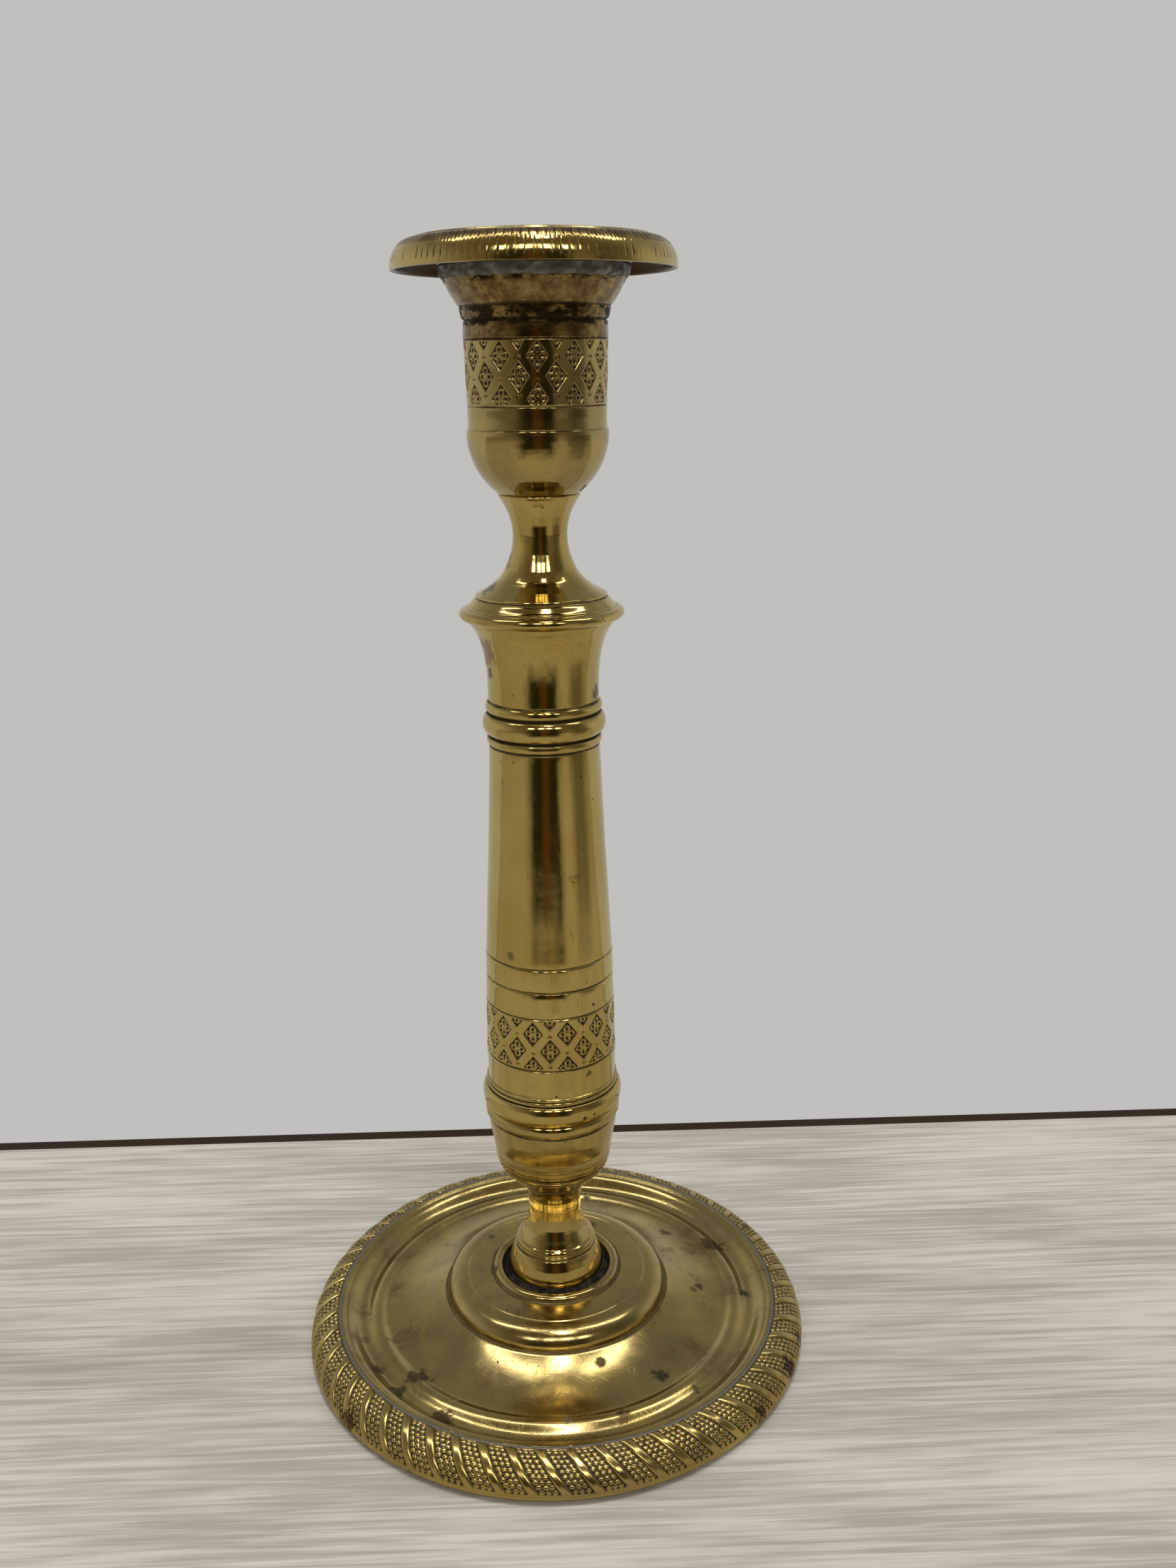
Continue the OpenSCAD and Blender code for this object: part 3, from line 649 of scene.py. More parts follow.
def turned_rings(runs):
    """The places in millimetres and the three marks of every ring, as lists of arrays."""
    outline = np.concatenate([run.points[:-1] for run in runs])
    overlooked, outwards = overlook(outline), directions(outline)[1]
    places, marks, at = [], {"recess": [], "exposed": [], "aged": []}, 0
    for run in runs:
        n = len(run.points) - 1
        lift = grime_and_shade = np.zeros((n, len(run.angles)))
        angles = np.broadcast_to(run.angles, lift.shape)
        if run.twist is not None:
            angles = angles + run.twist(run.points[:n])[:, None]
        if run.relief is not None:
            lift, grime_and_shade = run.relief(run.angles, run.points[:n])
        for row, (r, z), out, hollow in zip(range(n), outline[at:], outwards[at:], overlooked[at:]):
            size = 1 if r < ON_THE_AXIS else len(run.angles)
            radii, heights = r + out[0] * lift[row][:size], z + out[1] * lift[row][:size]
            angle, relief_grime_and_shade = angles[row][:size], grime_and_shade[row][:size]
            places.append(np.c_[radii * np.cos(angle), radii * np.sin(angle), heights])
            # the darkness of a hollow: painted shade from how much it is overlooked, and grime
            marks["recess"].append(np.maximum(max(hollow, 0), relief_grime_and_shade))
            marks["exposed"].append(np.full(size, max(-hollow, 0)) * (relief_grime_and_shade < WORN_BARE_BELOW))
            marks["aged"].append(np.full(size, run.aged))
        at += n
    return places, marks


# %% From rings to a mesh piece
def turn(name, runs, material):
    """Turns a closed outline, given as runs, into a mesh piece."""
    places, marks = turned_rings(runs)
    ends = np.cumsum([len(ring) for ring in places])
    rings = [np.arange(end - len(ring), end) for end, ring in zip(ends, places)]
    polygons = [join(a, b) for a, b in zip(rings, rings[1:] + rings[:1]) if len(a) + len(b) > 2]
    sizes = np.concatenate([np.full(len(p), p.shape[1]) for p in polygons])
    corners = np.concatenate([p.ravel() for p in polygons])
    mesh = bpy.data.meshes.new(name)
    mesh.vertices.add(ends[-1])
    mesh.vertices.foreach_set("co", (np.concatenate(places) * MM).astype(np.float32).ravel())
    mesh.loops.add(len(corners))
    mesh.loops.foreach_set("vertex_index", corners.astype(np.int32))
    mesh.polygons.add(len(sizes))
    mesh.polygons.foreach_set("loop_start", np.r_[0, np.cumsum(sizes)[:-1]].astype(np.int32))
    mesh.polygons.foreach_set("use_smooth", np.ones(len(sizes), bool))
    mesh.update(calc_edges=True)
    mesh.validate()
    for label, values in marks.items():
        layer = mesh.attributes.new(label, "FLOAT", "POINT")
        layer.data.foreach_set("value", np.concatenate(values).astype(np.float32))
    mesh.materials.append(material)
    piece = bpy.data.objects.new(name, mesh)
    bpy.context.scene.collection.objects.link(piece)
    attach(piece, "root")
    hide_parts(name.removesuffix("_turned"))
    print(f"{name}: {len(mesh.polygons)} faces")


def span(node):
    """Lowest height, highest height and radius of a construction node, in millimetres."""
    low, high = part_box(node)
    return low.z / MM, high.z / MM, high.x / MM


# %% [markdown]
# ## The foot rim
# The rim is a hollow ring with a convex back. Slanting flat ribs alternate with panels of small
# round pearls, which a craftsman punched or cast and then chased. A bump map would leave the
# edge of the foot perfectly smooth, so the pearls are real geometry. The mesh is twisted as it
# comes down the rim, by half a pearl for each row, and so its grid follows the slant.

# %% Sizes of the foot rim
# A panel is one rib and the pearls beside it.
PANELS = 54
PEARLS_ACROSS, PEARL_ROWS = 3, 9
COLUMNS_PER_PEARL, RINGS_PER_PEARL = 6, 5
# Shares: of a pearl between pearls and rib, of a panel that is rib, of a rib that is its side.
PEARL_GAP, RIB_SHARE, RIB_SIDE = 0.12, 0.355, 0.13
# Degrees on the rim's back, where the pattern starts and ends.
RIM_TOP_ANGLE, RIM_LOW_ANGLE = 88.5, 4.0
# Millimetres: how deep the pattern is, and how thick the sheet of the dish.
RIM_DEPTH, SHEET = 0.42, 1.6

_, rim_top, base_r = span("rim_band")
dish_r = span("base_dish")[2]
seam_r = dish_r + 0.5
rim_centre, rim_radii = (seam_r, 2.2), (base_r - seam_r - 0.2, rim_top - 2.2)
panel_angle = 2 * math.pi / PANELS
rib_angle = RIB_SHARE * panel_angle
pearl_angle = panel_angle * (1 - RIB_SHARE) / (PEARLS_ACROSS + 2 * PEARL_GAP)
rib_shares = np.array([0, 0.05, RIB_SIDE, 0.32, 0.5, 0.68, 1 - RIB_SIDE, 0.95])
rib_steps = rib_shares * RIB_SHARE * panel_angle
pearl_steps = rib_angle + pearl_angle * (
    PEARL_GAP + np.arange(PEARLS_ACROSS * COLUMNS_PER_PEARL + 1) / COLUMNS_PER_PEARL)
panel_steps = np.r_[rib_steps, rib_angle, pearl_steps]
rim_angles = np.concatenate([k * panel_angle + panel_steps for k in range(PANELS)])
rim_arc = arc(rim_centre, rim_radii, RIM_TOP_ANGLE, RIM_LOW_ANGLE, PEARL_ROWS * RINGS_PER_PEARL)[::-1]
FIRST_RIB = math.radians(4.0)
slant = PEARL_ROWS * pearl_angle / 2


# %% Ribs and pearls
# Shares of a pearl's pitch: its radius, how much that varies, and how far it strays.
PEARL_SIZE, UNEVEN_SIZE, UNEVEN = 0.49, 0.02, 0.07
# Millimetres: how much lower than the ribs a pearl is, and how far from the axis most pearls lie.
PEARL_SUNK, PEARLS_R = 0.1, 61.5
pearl_pitch = pearl_angle * PEARLS_R
row_pitch = rim_radii[0] * math.radians(RIM_TOP_ANGLE - RIM_LOW_ANGLE) / PEARL_ROWS


def down_the_rim(points):
    """In rows of pearls: 0 by the seam, PEARL_ROWS at the lip."""
    angles = arc_angles(points, rim_centre, rim_radii)
    return (RIM_TOP_ANGLE - angles) / (RIM_TOP_ANGLE - RIM_LOW_ANGLE) * PEARL_ROWS


def rim_twist(points):
    """Half a pearl further round for each row, so that the grid follows the slant of the ribs."""
    return FIRST_RIB + down_the_rim(points) * pearl_angle / 2


def rim_relief(angles, points):
    """Flat ribs with rounded sides, and domes of pearls in the sunk panels between them."""
    down = down_the_rim(points)[:, None]
    inside = (angles % panel_angle)[None, :]
    rib = inside < rib_angle - TINY
    rib_place = inside / rib_angle
    rib_lift = -RIM_DEPTH * (1 - np.clip(np.minimum(rib_place, 1 - rib_place) / RIB_SIDE, 0, 1) ** 0.8)
    across = (inside - rib_angle) / pearl_angle - PEARL_GAP
    column = np.floor(across.clip(0, PEARLS_ACROSS - 1e-6)).astype(int)
    row = np.floor(down.clip(0, PEARL_ROWS - 1e-6)).astype(int)
    panel = np.floor(angles / panel_angle).astype(int)[None, :] % PANELS
    shift = np.random.default_rng(12).uniform(-1, 1, (3, PANELS, PEARLS_ACROSS, PEARL_ROWS))[:, panel, column, row]
    a, b = across - column - 0.5 + UNEVEN * shift[0], down - row - 0.5 + UNEVEN * shift[1]
    size = (PEARL_SIZE + UNEVEN_SIZE * shift[2]) * pearl_pitch
    far = np.hypot((a + b / 2) * pearl_pitch, b * row_pitch) / size
    dome = np.sqrt(np.clip(1 - far ** 3, 0, 1))
    pearl_lift = -RIM_DEPTH + (RIM_DEPTH - PEARL_SUNK) * dome
    lift = np.where(rib, rib_lift, pearl_lift)
    ends = np.clip(np.minimum(down, PEARL_ROWS - down) / 0.12, 0, 1)
    # rib sides and the ground between the pearls are darkened by depth: grime and painted shade
    grime_and_shade = np.where(rib, np.clip(-rib_lift / RIM_DEPTH, 0, 1) * 0.6, (1 - dome) * 0.62 + 0.05)
    return lift * ends, grime_and_shade * np.maximum(ends, 0.6)


# %% The rim's outline
inner_lip_r = base_r - 3.2
ledge, ledge_r = rim_top - SHEET, seam_r - 2.6
lip_run = [
    (inner_lip_r, 0.0), (base_r - 2.1, 0.0), (base_r - 1.3, 0.25), (base_r - 0.6, 0.75),
    (base_r - 0.12, 1.35), (base_r, 1.75), (base_r - 0.08, 2.1)
] + arc(rim_centre, rim_radii, 1.5, RIM_LOW_ANGLE, 1)
inner_run = (
    arc(rim_centre, rim_radii, RIM_TOP_ANGLE, 90, 1)
    + [(seam_r, ledge), (ledge_r, ledge), (ledge_r, ledge - 1.5)]
    + arc(rim_centre, (rim_radii[0] - 1.7, rim_radii[1] - 1.5), 43, 0, 12)
    + [(inner_lip_r, 0.0)]
)
turn("rim_band_turned", [
    Run(lip_run, PANELS * 7, twist=lambda points: np.full(len(points), FIRST_RIB + slant)),
    Run(rim_arc, len(rim_angles), step=9.0, corner=0.0, relief=rim_relief, twist=rim_twist,
        angles=rim_angles),
    Run(inner_run, PANELS * 7, step=3.0, aged=0.95,
        twist=lambda points: FIRST_RIB + slant * np.linspace(0, 1, len(points)) ** 2),
], brass_of["rim"])

# %% [markdown]
# ## The dish
# The dish is one sheet of brass spun over a former: a shallow valley, a low ring, a long hollow
# slope, a dome and a small collar ring that centres the stem. Spinning leaves its outline
# slightly wavy, so the mesh gets a very small slow wobble.

# %% A slow wobble
def way_along(points):
    """How far each point lies along its run."""
    return np.cumsum(np.r_[0, np.hypot(*np.diff(points, axis=0).T)])[:, None]


def wobble(size, waves, seed):
    """A relief that lifts the surface by slow seeded waves round the axis."""
    random = np.random.default_rng(seed)
    parts = [(random.integers(2, waves), random.uniform(0, 2 * math.pi), random.uniform(-0.5, 0.5),
              random.uniform(0.4, 1)) for _ in range(6)]

    def relief(angles, points):
        along = way_along(points)
        lift = sum(size / 4 * a * np.sin(k * angles[None] + p + f * along) for k, p, f, a in parts)
        return lift, np.zeros_like(lift)
    return relief


# %% Dish
COLLAR_HEIGHT = 1.6
TENON_HOLE_R = 5.05
seat = span("base_dish")[1] - COLLAR_HEIGHT
foot_r = 12.4
dish_top = (
    [(dish_r, rim_top), (dish_r - 0.25, rim_top)]
    + [(56.3, rim_top), (56.15, 8.85), (55.9, 8.8), (55.7, 8.62)]
    + ogee((55.6, 8.55), (51.2, 6.05), 18)
    + ogee((50.9, 6.05), (47.3, 7.5), 12)
    + ogee((46.9, 7.5), (44.6, 6.7), 8)
    + climb((44.3, 6.7), (29.4, 11.5), 1.75, 30)
    + [(29.1, 11.35), (28.85, 11.7)]
    + arc((23.9, 11.8), (4.95, seat - 11.95), 8, 86, 20)
    + [(23.55, seat - 0.1), (23.3, seat - 0.28), (23.0, seat - 0.05), (21.0, seat + 0.02),
       (17.2, seat + 0.05), (16.85, seat - 0.15), (16.55, seat + 0.2)]
    + arc((15.2, seat + 0.3), (1.3, 1.3), 8, 176, 14)
    + [(13.85, seat), (TENON_HOLE_R, seat)]
)
dish_under = (
    [(TENON_HOLE_R, seat - SHEET)]
    + arc((21.9, 10.0), (5.5, 5.0), 90, 15, 12)
    + climb((45.5, 5.2), (29.0, 10.0), 1.7, 16)[::-1]
    + [(52.8, 5.2), (seam_r - 2.8, ledge), (dish_r, ledge), (dish_r, rim_top)]
)
turn("base_dish_turned", [
    Run(dish_under, 90, step=4.0, corner=0.3, aged=0.95),
    Run(dish_top, 360, step=0.5, corner=0.12, relief=wobble(0.05, 9, 4)),
], brass_of["dish"])

# %% [markdown]
# ## Solder
# Solder was run in with an iron and never cleaned, so its rings are uneven. Their outlines are
# plain, and the relief makes them lumpy. Two rings are made here, one at the rim and one round
# the foot of the stem. The third, under the pan, comes with the cup.

# %% Solder rings
def lumps(size, seed, coarse=14):
    """A relief of seeded lumps, which are sums of waves round the axis and along the outline."""
    random = np.random.default_rng(seed)
    parts = [(random.integers(2, coarse * 4), random.uniform(0, 2 * math.pi), random.uniform(-3, 3))
             for _ in range(24)]

    def relief(angles, points):
        along = way_along(points)
        waves = sum(np.sin(k * angles[None] + p + f * along) / (3 + k / coarse) for k, p, f in parts)
        lift = waves * size / 3
        # the low parts of the lumps are darkened: grime and painted shade
        return lift, np.clip(0.35 - lift / size * 0.5, 0, 1)
    return relief


turn("rim_solder_turned", [
    Run([(dish_r - 0.3, rim_top - 0.05), (dish_r + 0.02, rim_top - 0.2), (dish_r + 0.02, ledge),
         (seam_r - 0.02, ledge), (seam_r - 0.02, rim_top - 0.2), (seam_r + 0.3, rim_top - 0.12)],
        216, step=0.6, corner=0.02),
    Run([(seam_r + 0.3, rim_top - 0.12), (seam_r - 0.05, rim_top + 0.04), (dish_r - 0.05, rim_top + 0.04),
         (dish_r - 0.3, rim_top - 0.05)], 864, step=0.12, corner=0.08, relief=lumps(0.06, 5, 60)),
], seam_solder)
turn("foot_solder_turned", [
    Run([(foot_r - 0.15, seat), (foot_r + 1.45, seat)], 96, step=1.0),
    Run([(foot_r + 1.45, seat), (foot_r + 1.2, seat + 0.45), (foot_r + 0.6, seat + 0.75),
         (foot_r + 0.12, seat + 1.35), (foot_r - 0.15, seat + 1.4)], 384, step=0.15, relief=lumps(0.3, 11)),
    Run([(foot_r - 0.15, seat + 1.4), (foot_r - 0.15, seat)], 96, step=1.0),
], dirty_solder)

# %% [markdown]
# ## Foot, waist and calyx
# The lowest casting of the stem has a bulging foot with two grooves, a thin waist and a calyx
# that carries the shaft. A tenon goes down through the dish and a spigot up into the shaft. The
# iron rod runs through all of it.

# %% Foot knop
_, knop_top, _ = span("foot_knop")
shaft_low, shaft_high, _ = span("shaft")
bore = span("tie_rod")[2] + 0.2
spigot = 10.45
knop = (
    [(5.0, seat - 1.4), (5.0, seat), (foot_r - 0.2, seat), (foot_r, seat + 0.6)]
    + [(foot_r - 0.02, seat + 1.4), (12.3, 18.6), (12.05, 20.0), (11.55, 21.9), (10.95, 23.6), (10.6, 24.35)]
    + [(10.2, 24.62), (10.4, 24.95), (10.42, 25.4), (10.05, 25.72), (10.15, 26.1), (9.85, 26.6)]
    + [(9.25, 27.0), (8.75, 28.0), (8.1, 29.0), (7.6, 30.0), (7.25, 31.1), (7.0, 32.3), (6.8, 34.0),
       (6.75, 36.5), (6.85, 39.0), (7.15, 40.6), (7.75, 41.8), (8.5, 42.9), (9.2, 43.75)]
    + [(9.05, 43.9), (9.4, 44.1), (9.9, 44.55), (10.5, 45.2), (11.5, 46.25), (12.6, 47.4), (13.5, 48.35)]
    + [(13.35, 48.55), (13.75, 48.9), (14.05, 49.5), (13.9, 49.65), (14.2, 49.95), (14.5, 51.0),
       (14.35, 51.15), (14.6, 51.4), (14.75, 52.5), (14.62, 52.65), (14.82, 52.9), (14.9, 53.6)]
    + [(15.05, 55.0), (15.4, 57.0), (15.75, 59.0), (16.05, 61.0), (16.35, 63.0), (16.0, 63.45)]
    + bead(16.25, 0.75, 63.6, 3.15, 16)
    + [(16.1, shaft_low)]
)
turn("foot_knop_turned", [
    Run(knop, 288, step=0.35, corner=0.12, relief=wobble(0.03, 7, 9)),
    Run([(16.1, shaft_low), (spigot, shaft_low), (spigot, knop_top), (bore, knop_top), (bore, seat - 1.4),
         (5.0, seat - 1.4)], 96, step=6.0, corner=0.1, aged=0.8),
], brass_of["knop"])

# %% [markdown]
# ## The patterned bands
# Two bands carry a lattice of flat straps. A craftsman sank a lozenge between the straps and left
# a flower of four ringed petals standing in it, then punched a small crescent where straps
# cross. The relief measures each point in the lozenge nearest to it, and so one set of numbers
# makes all twelve columns of the pattern.

# %% Lozenge relief
def soften(value, edge=0.09):
    """0 below -edge and 1 above edge, with a smooth step between."""
    t = np.clip(value / (2 * edge) + 0.5, 0, 1)
    return t * t * (3 - 2 * t)


# Millimetres: the radii of a petal, of the hole in it, of the flower's heart and of a crescent.
PETAL_R, HOLE_R, HEART_R, CRESCENT_R = 0.87, 0.36, 0.45, 0.42
LOZENGES_ROUND = 12
LOZENGE_DEPTH, CRESCENT_DEPTH = 0.34, 0.15


def lattice(rows, first, half, low, high):
    """Rows are heights of lozenge centres; odd rows stand half a column further round than even ones.
    First is the bearing of a column, half is half a lozenge's width and height."""
    step = 2 * math.pi / LOZENGES_ROUND

    def relief(angles, points):
        r, z = points[:, 0][:, None], points[:, 1][:, None]
        lift = np.zeros((len(points), len(angles)))
        grime_and_shade = np.zeros_like(lift)
        for index, row in enumerate(rows):
            turned_by = (angles[None] - first - index % 2 * step / 2 + step / 2) % step - step / 2
            u, v = turned_by * r, z - row
            inside = (1 - np.abs(u) / half[0] - np.abs(v) / half[1]) * half[0] * half[1] / math.hypot(*half)
            ground = soften(inside - 0.05)
            flower = soften(HEART_R - np.hypot(u, v))
            for side, rise in ((1, 0), (-1, 0), (0, 1), (0, -1)):
                a, b = u - side * 0.45 * half[0], v - rise * 0.42 * half[1]
                far = np.hypot(a, b)
                petal = soften(PETAL_R - far) * (1 - 0.95 * soften(HOLE_R - far))
                if rise:
                    petal *= 1 - 0.7 * soften(0.16 - np.abs(a)) * soften(-rise * b) * soften(0.7 - far)
                flower = np.maximum(flower, petal)
            lift -= LOZENGE_DEPTH * ground * (1 - 0.8 * flower)
            # the sunk ground round the flower is darkened: grime and painted shade
            grime_and_shade = np.maximum(grime_and_shade, ground * (1 - flower) * 0.8)
            for way in ((1, -1) if row in (rows[1], rows[2]) else ()):
                tip = v - way * (half[1] + 0.5)
                far = np.abs(np.hypot(u, tip) - CRESCENT_R)
                punched = soften(0.1 - far) * soften(way * tip)
                lift -= CRESCENT_DEPTH * punched
                # a punched crescent is darkened the same way: grime and painted shade
                grime_and_shade = np.maximum(grime_and_shade, punched * 0.6)
        near_border = soften(np.minimum(z - low, high - z) - 0.25, 0.12)
        return lift * near_border, grime_and_shade * near_border
    return relief


# %% [markdown]
# ## The shaft
# The shaft is a hollow casting, turned outside. From the bottom it has a torus, a fillet, a plain
# stretch, the lower band, a girdle between two grooves, the long taper, a collar of three beads
# and a flared head. Only the band has a fine mesh.

# %% Shaft
BAND_COLUMNS = 720
BAND_STEP = 0.206
FRONT = -90
band_low, band_high = 82.2, 95.2
girdle_low, girdle_high = 102.2, 108.2
shaft_below = (
    [(16.1, shaft_low), (16.3, shaft_low + 0.05)]
    + bead(16.3, 1.2, shaft_low + 0.1, 5.3, 14)
    + [(16.2, 72.3)] + bead(16.3, 0.28, 72.5, 0.9, 5)
    + [(16.12, 73.5)] + bead(16.2, 0.22, 73.6, 0.8, 5)
    + [(16.06, 74.5), (16.03, 77.0), (16.08, 80.0), (16.12, 81.6), (15.8, 81.9), (16.12, band_low)]
)
shaft_band = [(16.12, band_low), (16.0, 89.0), (15.92, band_high)]
shaft_above = (
    [(15.92, band_high), (15.6, 95.5), (15.9, 95.8), (15.75, 99.0), (15.62, girdle_low - 0.35)]
    + groove(15.6, girdle_low)
    + [(15.72, girdle_low + 0.55), (15.66, 105.0), (15.6, girdle_high - 0.5)]
    + groove(15.52, girdle_high)
    + [(15.42, 110.0), (15.12, 115.0), (14.9, 120.0), (14.65, 125.0), (14.38, 130.0), (14.08, 136.0),
       (13.86, 141.0), (13.52, 149.0), (13.28, 155.0), (13.08, 159.8)]
    + [(12.8, 160.25)] + bead(12.95, 0.62, 160.45, 2.1, 9)
    + [(12.95, 162.7)] + bead(13.0, 1.5, 162.9, 4.9, 14)
    + [(12.95, 168.0)] + bead(13.0, 0.72, 168.2, 2.3, 9)
    + [(12.8, 170.7), (13.0, 171.0), (12.98, 174.0), (13.06, 177.0), (13.3, 179.5), (13.68, 182.0), (14.2, 184.0),
       (14.9, 186.0), (15.9, 187.9), (16.75, 189.0), (16.95, shaft_high - 0.25), (16.85, shaft_high)]
)
turn("shaft_turned", [
    Run(shaft_below, 180, step=0.7, corner=0.12),
    Run(shaft_band, BAND_COLUMNS, step=BAND_STEP, corner=0.0,
        relief=lattice((91.7, 87.3, 82.75, 96.1), math.radians(FRONT + 14), (2.5, 3.2), band_low, band_high)),
    Run(shaft_above, 180, step=1.9, corner=0.12, relief=wobble(0.04, 6, 21)),
    Run([(16.85, shaft_high), (spigot + 0.05, shaft_high), (spigot + 0.05, shaft_low), (16.1, shaft_low)],
        60, step=12.0, corner=0.1, aged=0.9),
], brass_of["shaft"])

# %% [markdown]
# ## The neck
# A flange like a pulley caps the shaft. Above it a shoulder and a small step lead into a long
# hollow curve, which is thinnest under the cup.

# %% Neck
neck_low, cup_joint, flange_r = span("neck")
neck_outline = (
    [(spigot, neck_low), (spigot, shaft_high), (17.0, shaft_high)]
    + bead(17.2, flange_r - 17.2, shaft_high, 2.75, 18)
    + [(17.1, 192.65), (16.95, 192.9), (16.6, 193.15), (16.1, 193.7), (15.6, 194.3), (15.1, 194.65), (14.95, 194.8)]
    + [(15.15, 195.0), (15.0, 195.45), (14.3, 195.8), (13.4, 196.3), (12.2, 196.95), (10.75, 198.0), (9.6, 199.0),
       (8.8, 200.0), (8.15, 201.0), (7.3, 203.0), (6.62, 205.0), (6.28, 207.0), (6.2, 209.0), (6.4, 211.0),
       (7.0, 213.2), (7.95, 215.2), (8.9, 216.8), (9.35, cup_joint - 0.35), (9.15, cup_joint - 0.1), (9.1, cup_joint)]
)
turn("neck_turned", [
    Run(neck_outline, 240, step=0.4, corner=0.1, relief=wobble(0.02, 6, 33)),
    Run([(9.1, cup_joint), (5.05, cup_joint), (5.05, cup_joint - 4.7), (bore, cup_joint - 4.7), (bore, neck_low),
         (spigot, neck_low)], 60, step=8.0, corner=0.1, aged=0.8),
], brass_of["neck"])

# %% [markdown]
# ## The candle cup
# The cup is a deep bowl with a straight patterned wall and a stepped lip that flares under the
# pan. Heat and years of snuffed candles have stained the flare, so its run is marked as aged,
# and the film there is nearly black in places.

# %% Candle cup
cup_low, cup_high, lip_r = span("candle_cup")
band_low, band_high = 237.05, 250.3
cup_bowl = (
    [(5.0, cup_low), (5.0, cup_joint), (9.2, cup_joint), (9.45, cup_joint + 0.15), (9.75, 218.3), (10.6, 219.05),
     (11.6, 220.1), (12.5, 221.15), (13.3, 222.3), (13.95, 223.4), (14.5, 224.6), (14.95, 225.8), (15.3, 227.0),
     (15.6, 228.3), (15.75, 229.6), (15.8, 231.2), (15.72, 231.65), (15.4, 231.9), (15.36, 234.0), (15.44, 236.5)]
    + [(15.2, 236.75), (15.47, band_low)]
)
cup_band = [(15.47, band_low), (15.6, 243.0), (15.85, band_high)]
cup_flare = [
    (15.85, band_high), (15.6, 250.55), (15.86, 250.85), (15.8, 252.0), (15.72, 254.0), (15.4, 254.55),
    (15.95, 254.95), (16.15, 255.6), (16.35, 256.6), (16.42, 257.1), (16.3, 257.4), (16.85, 257.75),
    (17.15, 258.2), (17.75, 259.1), (18.4, 260.1), (18.95, 261.2), (19.35, 262.0), (lip_r - 0.1, 262.7),
    (lip_r, cup_high - 0.35), (lip_r - 0.15, cup_high)]
cup_floor = 222.8
cup_inside = [
    (lip_r - 0.15, cup_high), (lip_r - 2.4, cup_high), (13.4, 254.6), (13.4, 230.6), (12.6, 227.2), (11.0, 224.4),
    (9.0, cup_floor), (bore, cup_floor), (bore, cup_low), (5.0, cup_low)]
turn("candle_cup_turned", [
    Run(cup_bowl, 180, step=0.6, corner=0.1, relief=wobble(0.04, 6, 41)),
    Run(cup_band, BAND_COLUMNS, step=BAND_STEP, corner=0.0,
        relief=lattice((247.1, 242.9, 238.4, 251.35), math.radians(FRONT + 0.8), (2.35, 3.15), band_low, band_high)),
    Run(cup_flare, 180, step=0.5, corner=0.1, relief=wobble(0.05, 8, 43), aged=0.52),
    Run(cup_inside, 60, step=6.0, corner=0.2, aged=1.0),
], brass_of["cup"])

# %% Solder under the pan
turn("lip_solder_turned", [
    Run([(19.6, cup_high + 2.2), (19.6, cup_high - 0.6), (19.3, cup_high - 1.0)], 96, step=1.0, corner=0.05),
    Run([(19.3, cup_high - 1.0), (20.0, cup_high - 0.65), (20.45, cup_high), (20.6, cup_high + 1.0),
         (20.75, cup_high + 1.9), (20.4, cup_high + 2.25), (19.6, cup_high + 2.2)], 384, step=0.15,
        corner=0.3, relief=lumps(0.3, 17)),
], solder)

# %% [markdown]
# ## The drip pan
# The pan is thin sheet with its edge rolled over and down. Flutes were chased across the roll
# and polishing has worn them away on top, so they are deepest in the shelter of the rim and near
# the lower edge. Towards the top the roll is browner, in three stretches. The underside is
# hollow and was never polished, and it is painted near black, as old film and as shade.

# %% Drip pan
FLUTES = 108
ROLL_POINTS = 60
ROLL_STRETCHES = ((0, 31, 0.0), (31, 37, 0.4), (37, ROLL_POINTS, 0.62))
_, pan_top, pan_r = span("drip_pan")
tube_r = 12.15
roll_centre = (26.1, cup_high + 1.5)
roll_radii = (pan_r - 26.1, 5.9)
pan_roll = arc(roll_centre, roll_radii, -4, 88, ROLL_POINTS)
pan_under = [(26.6, cup_high + 5.3)] + arc(roll_centre, (roll_radii[0] - 1.2, roll_radii[1] - 1.5), 80, 2, 10) + [
    (pan_r - 1.1, cup_high + 1.15), (pan_r - 0.55, cup_high + 0.95), (pan_r - 0.12, cup_high + 1.1)]
pan_rim = (
    [(25.95, pan_top - 0.42), (25.75, pan_top - 0.12)] + arc((25.15, pan_top - 0.45), (0.55, 0.45), 40, 170, 8)
    + [(24.4, pan_top - 1.0), (23.4, pan_top - 1.9), (21.9, cup_high + 4.6), (20.2, cup_high + 3.5),
       (19.0, cup_high + 2.4), (18.3, cup_high + 1.6), (17.2, cup_high + 1.4), (tube_r, cup_high + 1.4)]
)


# %% Flutes
# Degrees on the roll, and millimetres.
NICK_ANGLE = 58
NICK_DEPTH, SEAM_DEPTH = 0.14, 0.09


